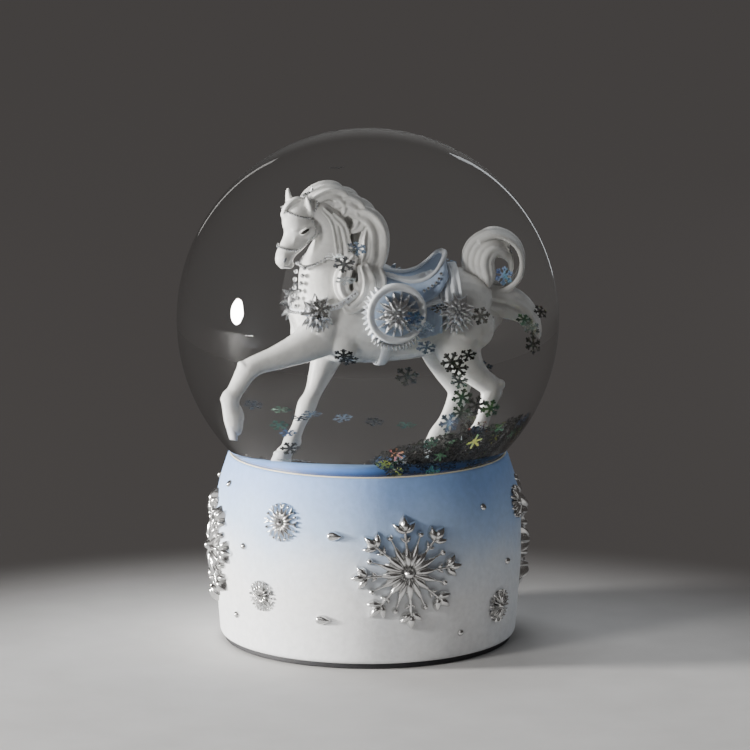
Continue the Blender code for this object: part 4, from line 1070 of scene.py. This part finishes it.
def string_of_pearls(path, count, radius, push=0.3, center=(4.0, 0.0)):
    fine = spline([list(p) for p in path], 30)
    for index in range(count):
        spot = fine[int((len(fine) - 1) * (index + 0.5) / count)]
        outward = Vector((spot[0] - center[0], spot[1] - center[1], 0.0)).normalized() * push
        pearls.append(ball((spot[0] + outward.x, spot[1] + outward.y, spot[2]), (radius, radius, radius), 6,
                           10))


string_of_pearls(collar, 40, 0.36, 0.35)
string_of_pearls(breech, 30, 0.3, 0.35)
neck_band = mirrored([(-9.6, -4.6, 98.6), (-12.0, -3.6, 97.0), (-13.4, -1.8, 96.2), (-13.9, 0.0, 96.0)])
string_of_pearls(neck_band, 26, 0.36, 0.1, (-8.0, 0.0))
front_line = [(-13.7, -2.4, 96.6), (-14.2, -2.2, 94.4), (-14.5, -2.0, 92.0), (-14.8, -1.6, 89.6),
              (-15.4, -1.4, 87.4)]
string_of_pearls(front_line, 6, 0.5, 0.1, (-8.0, 0.0))
string_of_pearls([(x, -y, z) for x, y, z in front_line], 6, 0.5, 0.1, (-8.0, 0.0))
cantle_line = [(9.6, -7.4, 90.9), (11.2, -7.1, 91.7), (12.8, -6.6, 92.8), (13.8, -5.6, 94.4)]
string_of_pearls(cantle_line, 6, 0.4, 0.1)
string_of_pearls([(x, -y, z) for x, y, z in cantle_line], 6, 0.4, 0.1)
dress("harness_pearls", pearls, silver)

pearls = []
for path, count, radius in (
        (((-13.2, -3.1, 107.0), (-15.4, -3.4, 107.6), (-17.6, -2.6, 108.5), (-18.8, -1.2, 109.0),
          (-18.6, 0.4, 109.3)), 16, 0.3),
        (((-16.2, -3.7, 100.3), (-17.6, -3.9, 100.5), (-19.2, -3.4, 100.9), (-20.0, -2.2, 101.2),
          (-19.4, -0.8, 101.3)), 14, 0.28),
        (((-12.6, -3.0, 108.4), (-11.8, -2.8, 109.8), (-12.0, -1.6, 111.2), (-12.8, 0.0, 111.8),
          (-13.8, 1.2, 111.0)), 12, 0.34),
        (((-12.9, -3.3, 106.6), (-12.2, -3.6, 104.0), (-13.6, -3.4, 101.8), (-16.0, -3.6, 100.3)), 16, 0.2)):
    string_of_pearls(path, count, radius, 0.1, (-15.0, -1.0))
dress("bridle_beads", pearls, silver)
plume = [leaf((0.0, 0.0), math.radians(90), 2.6, 0.5, 0.5),
         leaf((0.0, 0.0), math.radians(55), 1.6, 0.4, 0.4),
         leaf((0.0, 0.0), math.radians(125), 1.6, 0.4, 0.4)]
points, faces = merged(plume)
points = [(-12.4 + x, -0.8 - max(h, 0.0), 111.4 + z) for x, z, h in points]
dress("bridle_plume", [(points, faces)], silver)

# ---------------------------------------------------------------- foil flakes

dice = random.Random(71)


def flake(center, radius, turn, barred):
    """Flat asterisk of six arms, with a small cross bar near each tip if it is barred."""
    points, faces = [], []
    basis = turn.to_matrix()
    arms = 6

    def put(x, y, z=0.0):
        points.append(tuple(Vector(center) + basis @ Vector((x, y, z))))
        return len(points) - 1

    half = radius * 0.12
    hub = []
    for arm in range(arms):
        angle = math.pi * 2 * (arm + 0.5) / arms
        hub.append(put(radius * 0.2 * math.cos(angle), radius * 0.2 * math.sin(angle)))
    faces.append(tuple(hub))
    for arm in range(arms):
        aim = 2 * math.pi * arm / arms
        c, s = math.cos(aim), math.sin(aim)
        curl = radius * 0.04 * math.sin(arm * 2.1)

        def at(along, across):
            return put(along * c - across * s, along * s + across * c, curl * along / radius)

        a, b = at(radius * 0.14, -half), at(radius * 0.14, half)
        d, e = at(radius * 0.94, half * 1.15), at(radius * 0.94, -half * 1.15)
        faces.append((a, e, at(radius, 0.0), d, b))
        for sign in (-1, 1) if barred else ():
            bar = ((0.50, 0.0), (0.68, 0.0), (0.84, 0.24), (0.78, 0.31), (0.66, 0.30))
            faces.append(tuple(at(radius * along, sign * radius * across) for along, across in bar))
    return points, faces


def scatter(name, entries, replaces=()):
    """entries: (center, radius, quaternion, colour index, barred)."""
    shapes, picks = [], []
    for center, radius, turn, pick, barred in entries:
        shapes.append(flake(center, radius, turn, barred))
        picks += [pick] * len(shapes[-1][1])
    build(name, merged(shapes), foils, smooth=False, replaces=replaces, picks=picks)


def facing(yaw, tilt, spin):
    """A flake whose face looks at -Y, turned by yaw, leaned by tilt, spun in its own plane."""
    return (Quaternion((0, 0, 1), math.radians(yaw)) @ Quaternion((1, 0, 0), math.radians(90 + tilt))
            @ Quaternion((0, 0, 1), math.radians(spin)))


# Loose groups of hanging flakes: middle, how many, how far they spread, usual tilt.
HANGING = (
    ((-7, -10, 121), 1, 0, 70),
    ((29, -7, 95), 1, 0, 5),
    ((-5, -11, 98), 4, 5, 45),
    ((-10, -15, 89), 1, 0, 10),
    ((12, -14, 85), 4, 6, 40),
    ((24, -11, 87), 1, 0, 10),
    ((34, -2, 83), 4, 5, 30),
    ((-4, -13, 78), 2, 2, 45),
    ((19, -12, 76), 4, 4, 25),
    ((-17, -13, 62), 4, 5, 60),
    ((21, -11, 65), 9, 6, 20),
    ((6, 16, 82), 6, 18, 45),
)
ROW_OF_FLAKES = ((-25, -15, 68), (8, -10, 64), 6)
breeze = random.Random(12)


def hanging_flake(spot, tilt):
    yaw = breeze.uniform(-12.0, 12.0)
    aim = facing(yaw, tilt + breeze.uniform(-15.0, 15.0), breeze.uniform(0.0, 30.0))
    return (spot, breeze.uniform(2.0, 2.5), aim, breeze.choice((0, 1, 1, 2, 3)), True)


entries = []
for middle, count, spread, tilt in HANGING:
    for step in range(count):
        angle = step * math.radians(137.5)
        reach = spread * math.sqrt(step / count)
        spot = (middle[0] + reach * math.cos(angle), middle[1], middle[2] + reach * math.sin(angle))
        entries.append(hanging_flake(spot, tilt))
start, end, count = ROW_OF_FLAKES
for step in range(count):
    spot = Vector(start).lerp(Vector(end), step / (count - 1))
    entries.append(hanging_flake(tuple(spot), 60))
scatter("drifting_flakes", entries)

# The heap to the right of the horse, then flakes that lie about on the platform.
entries = []
shades = (1,) * 16 + (0, 2, 2, 3, 4, 5)
HEAPED, LYING = 620, 90
HEAP_START, HEAP_END = 4.0, 112.0
HEAP_WALL_R = 47.3
while len(entries) < HEAPED:
    azimuth = math.radians(dice.uniform(HEAP_START, HEAP_END))
    share = dice.random() ** 0.7
    reach = 15.0 + 25.5 * share
    along = (math.degrees(azimuth) - HEAP_START) / (HEAP_END - HEAP_START)
    ramp = math.sin(math.pi * min(1.0, max(0.0, along))) ** 0.6
    top = 55.4 + ramp * (0.5 + 6.4 * max(0.0, (reach - 18.0) / 22.0) ** 1.5)
    low = 55.2 if reach < 29.0 else 49.0 + (reach - 29.0) * 0.75
    height = top - (top - low) * dice.random() ** 2.2
    wall = math.sqrt(max(0.0, HEAP_WALL_R ** 2 - (GLOBE_Z - height) ** 2))
    if reach > wall - 0.6:
        continue
    spot = (reach * math.sin(azimuth), -reach * math.cos(azimuth), height)
    if reach < 21.0 and dice.random() < 0.65:
        continue
    steep = math.radians(-10.0 - 45.0 * max(0.0, (reach - 24.0) / 16.0))
    slope = Quaternion((math.cos(azimuth), math.sin(azimuth), 0.0), steep)
    tilt = Quaternion(Vector((dice.uniform(-1, 1), dice.uniform(-1, 1), 0.1)).normalized(),
                      math.radians(dice.gauss(0, 24)))
    spun = Quaternion((0, 0, 1), dice.uniform(0, math.pi))
    entries.append((spot, dice.uniform(1.9, 2.3), slope @ tilt @ spun, dice.choice(shades),
                    dice.random() < 0.7))
for _ in range(LYING):
    azimuth = dice.uniform(0.0, 2 * math.pi)
    reach = dice.uniform(4.0, 27.0)
    spot = (reach * math.sin(azimuth), -reach * math.cos(azimuth), PLATFORM_Z + dice.uniform(0.0, 0.25))
    if -8.0 < spot[0] < 6.0 and spot[1] < 0:
        continue
    tilt = Quaternion(Vector((dice.uniform(-1, 1), dice.uniform(-1, 1), 0.1)).normalized(),
                      math.radians(dice.gauss(0, 5)))
    entries.append((spot, dice.uniform(1.8, 2.2), tilt @ Quaternion((0, 0, 1), dice.uniform(0, math.pi)),
                    dice.choice(shades), True))
scatter("settled_flake_drift", entries, ("settled_flakes",))

# ---------------------------------------------------------------- carried-over CAD pieces

zinc = speckled("cast_zinc", (0.56, 0.56, 0.58), (0.40, 0.40, 0.42), 0.48, 0.9, scale=700.0, bump=0.08)
steel = speckled("plated_steel", (0.70, 0.71, 0.73), (0.54, 0.55, 0.57), 0.3, 1.0, scale=900.0, bump=0.02)
brass = speckled("turned_brass", (0.80, 0.60, 0.28), (0.62, 0.44, 0.18), 0.3, 1.0, scale=800.0, bump=0.03)
nylon = speckled("moulded_nylon", (0.86, 0.86, 0.82), (0.76, 0.76, 0.72), 0.45, scale=600.0, bump=0.03)
moulding = speckled("moulded_black", (0.035, 0.035, 0.04), (0.02, 0.02, 0.024), 0.5, scale=1200.0, bump=0.05)
carried = {
    "zinc": zinc, "steel": steel, "brass": brass, "nylon": nylon, "black_plastic": moulding,
    "rubber_stopper": rubber,
}
slots = {row["node"]: row["material_slot"] for row in frame["record"]["subparts"]}
for name, slot_name in slots.items():
    if slot_name in carried and name in bpy.data.objects:
        item = bpy.data.objects[name]
        item.data.materials.clear()
        item.data.materials.append(carried[slot_name])

# ---------------------------------------------------------------- floor, lights, camera


SURROUND = (0.060, 0.055, 0.053)
POOL_CENTER = (0.0, -0.085, 0.0)
POOL_RADIUS = 0.10
POOL_FADED = 0.20


def stage_material():
    """Pale floor round the globe that fades, by distance, to the colour of the surround."""
    paint = Paint("pale_floor", (0.6, 0.6, 0.6), 0.7)
    paint.shader.inputs["Specular IOR Level"].default_value = 0.15
    reach = paint.node("ShaderNodeVectorMath", operation="DISTANCE")
    paint.link(paint.coords.outputs["Object"], reach.inputs[0])
    reach.inputs[1].default_value = POOL_CENTER
    ramp = paint.node("ShaderNodeMapRange", interpolation_type="SMOOTHSTEP")
    ramp.inputs["From Min"].default_value = POOL_RADIUS
    ramp.inputs["From Max"].default_value = POOL_FADED
    paint.link(reach.outputs["Value"], ramp.inputs["Value"])
    grain = paint.noise(60.0, 4.0)
    paint.color(paint.mix(paint.ramp(grain, ((0.3, (0.55, 0.545, 0.54)), (0.7, (0.60, 0.595, 0.59)))),
                          (0.0, 0.0, 0.0),
                          ramp.outputs["Result"]))
    glow = paint.mix((0.0, 0.0, 0.0), SURROUND, ramp.outputs["Result"])
    paint.link(glow, paint.shader.inputs["Emission Color"])
    paint.shader.inputs["Emission Strength"].default_value = 1.0
    return paint.material


def floor():
    mesh = bpy.data.meshes.new("studio_floor")
    points, faces = turned(((0.0, 0.0), (120.0, 0.0), (400.0, 0.0), (4000.0, 0.0)), 96, closed=False)
    mesh.from_pydata([Vector(p) * MM for p in points], [], faces)
    item = bpy.data.objects.new("studio_floor", mesh)
    bpy.context.collection.objects.link(item)
    mesh.materials.append(stage_material())
    item.location.z = -0.1 * MM


floor()


def lamp(name, place, target, size, power, color=(1.0, 1.0, 1.0), shape="RECTANGLE", glossy=True):
    data = bpy.data.lights.new(name, "AREA")
    data.shape = shape
    data.size, data.size_y = size
    data.energy = power
    data.color = color
    item = bpy.data.objects.new(name, data)
    bpy.context.collection.objects.link(item)
    item.location = place
    item.rotation_euler = (Vector(target) - Vector(place)).to_track_quat("-Z", "Y").to_euler()
    item.visible_glossy = glossy
    item.visible_transmission = False
    return item


lamp("key_left", (-1.0, -0.12, 0.16), (0.0, 0.0, 0.07), (0.17, 0.20), 34.0, (1.0, 0.975, 0.94), "ELLIPSE")
lamp("left_front", (-0.95, -0.75, 0.38), (0.0, 0.0, 0.06), (0.22, 0.22), 10.0, (1.0, 0.98, 0.95),
     glossy=False)
lamp("key_small", (-0.9, -0.28, -0.02), (0.0, 0.0, 0.06), (0.10, 0.05), 0.6, (1.0, 0.98, 0.95))
lamp("front_soft", (-0.9, -1.3, 1.0), (0.0, 0.0, 0.05), (1.3, 1.3), 5.0, (1.0, 0.98, 0.96))
lamp("top_soft", (-0.15, 0.30, 1.0), (0.0, 0.0, 0.06), (0.5, 0.4), 3.0, (0.92, 0.96, 1.0), glossy=False)
lamp("right_rim", (0.30, 0.95, 0.22), (0.0, 0.0, 0.08), (0.05, 0.55), 0.12, (0.90, 0.95, 1.0))
lamp("right_side", (0.9, 0.35, 0.30), (0.0, 0.0, 0.08), (0.3, 0.4), 1.5, (0.88, 0.94, 1.0), glossy=False)
lamp("left_rim", (-0.34, 0.95, 0.30), (0.0, 0.0, 0.08), (0.04, 0.40), 0.05, (1.0, 0.98, 0.95))

world = bpy.data.worlds.new("studio")
bpy.context.scene.world = world
world.use_nodes = True
world.node_tree.nodes["Background"].inputs["Color"].default_value = (*SURROUND, 1.0)
world.node_tree.nodes["Background"].inputs["Strength"].default_value = 1.0

camera = bpy.data.cameras.new("camera")
camera.sensor_width = 36.0
camera.lens = 185.9
camera.shift_x = 0.0096
camera.clip_start = 0.05
camera_item = bpy.data.objects.new("camera", camera)
bpy.context.collection.objects.link(camera_item)
camera_item.location = (0.0, -1.0, 0.2483)
camera_item.rotation_euler = (math.radians(79.87), 0.0, 0.0)
bpy.context.scene.camera = camera_item
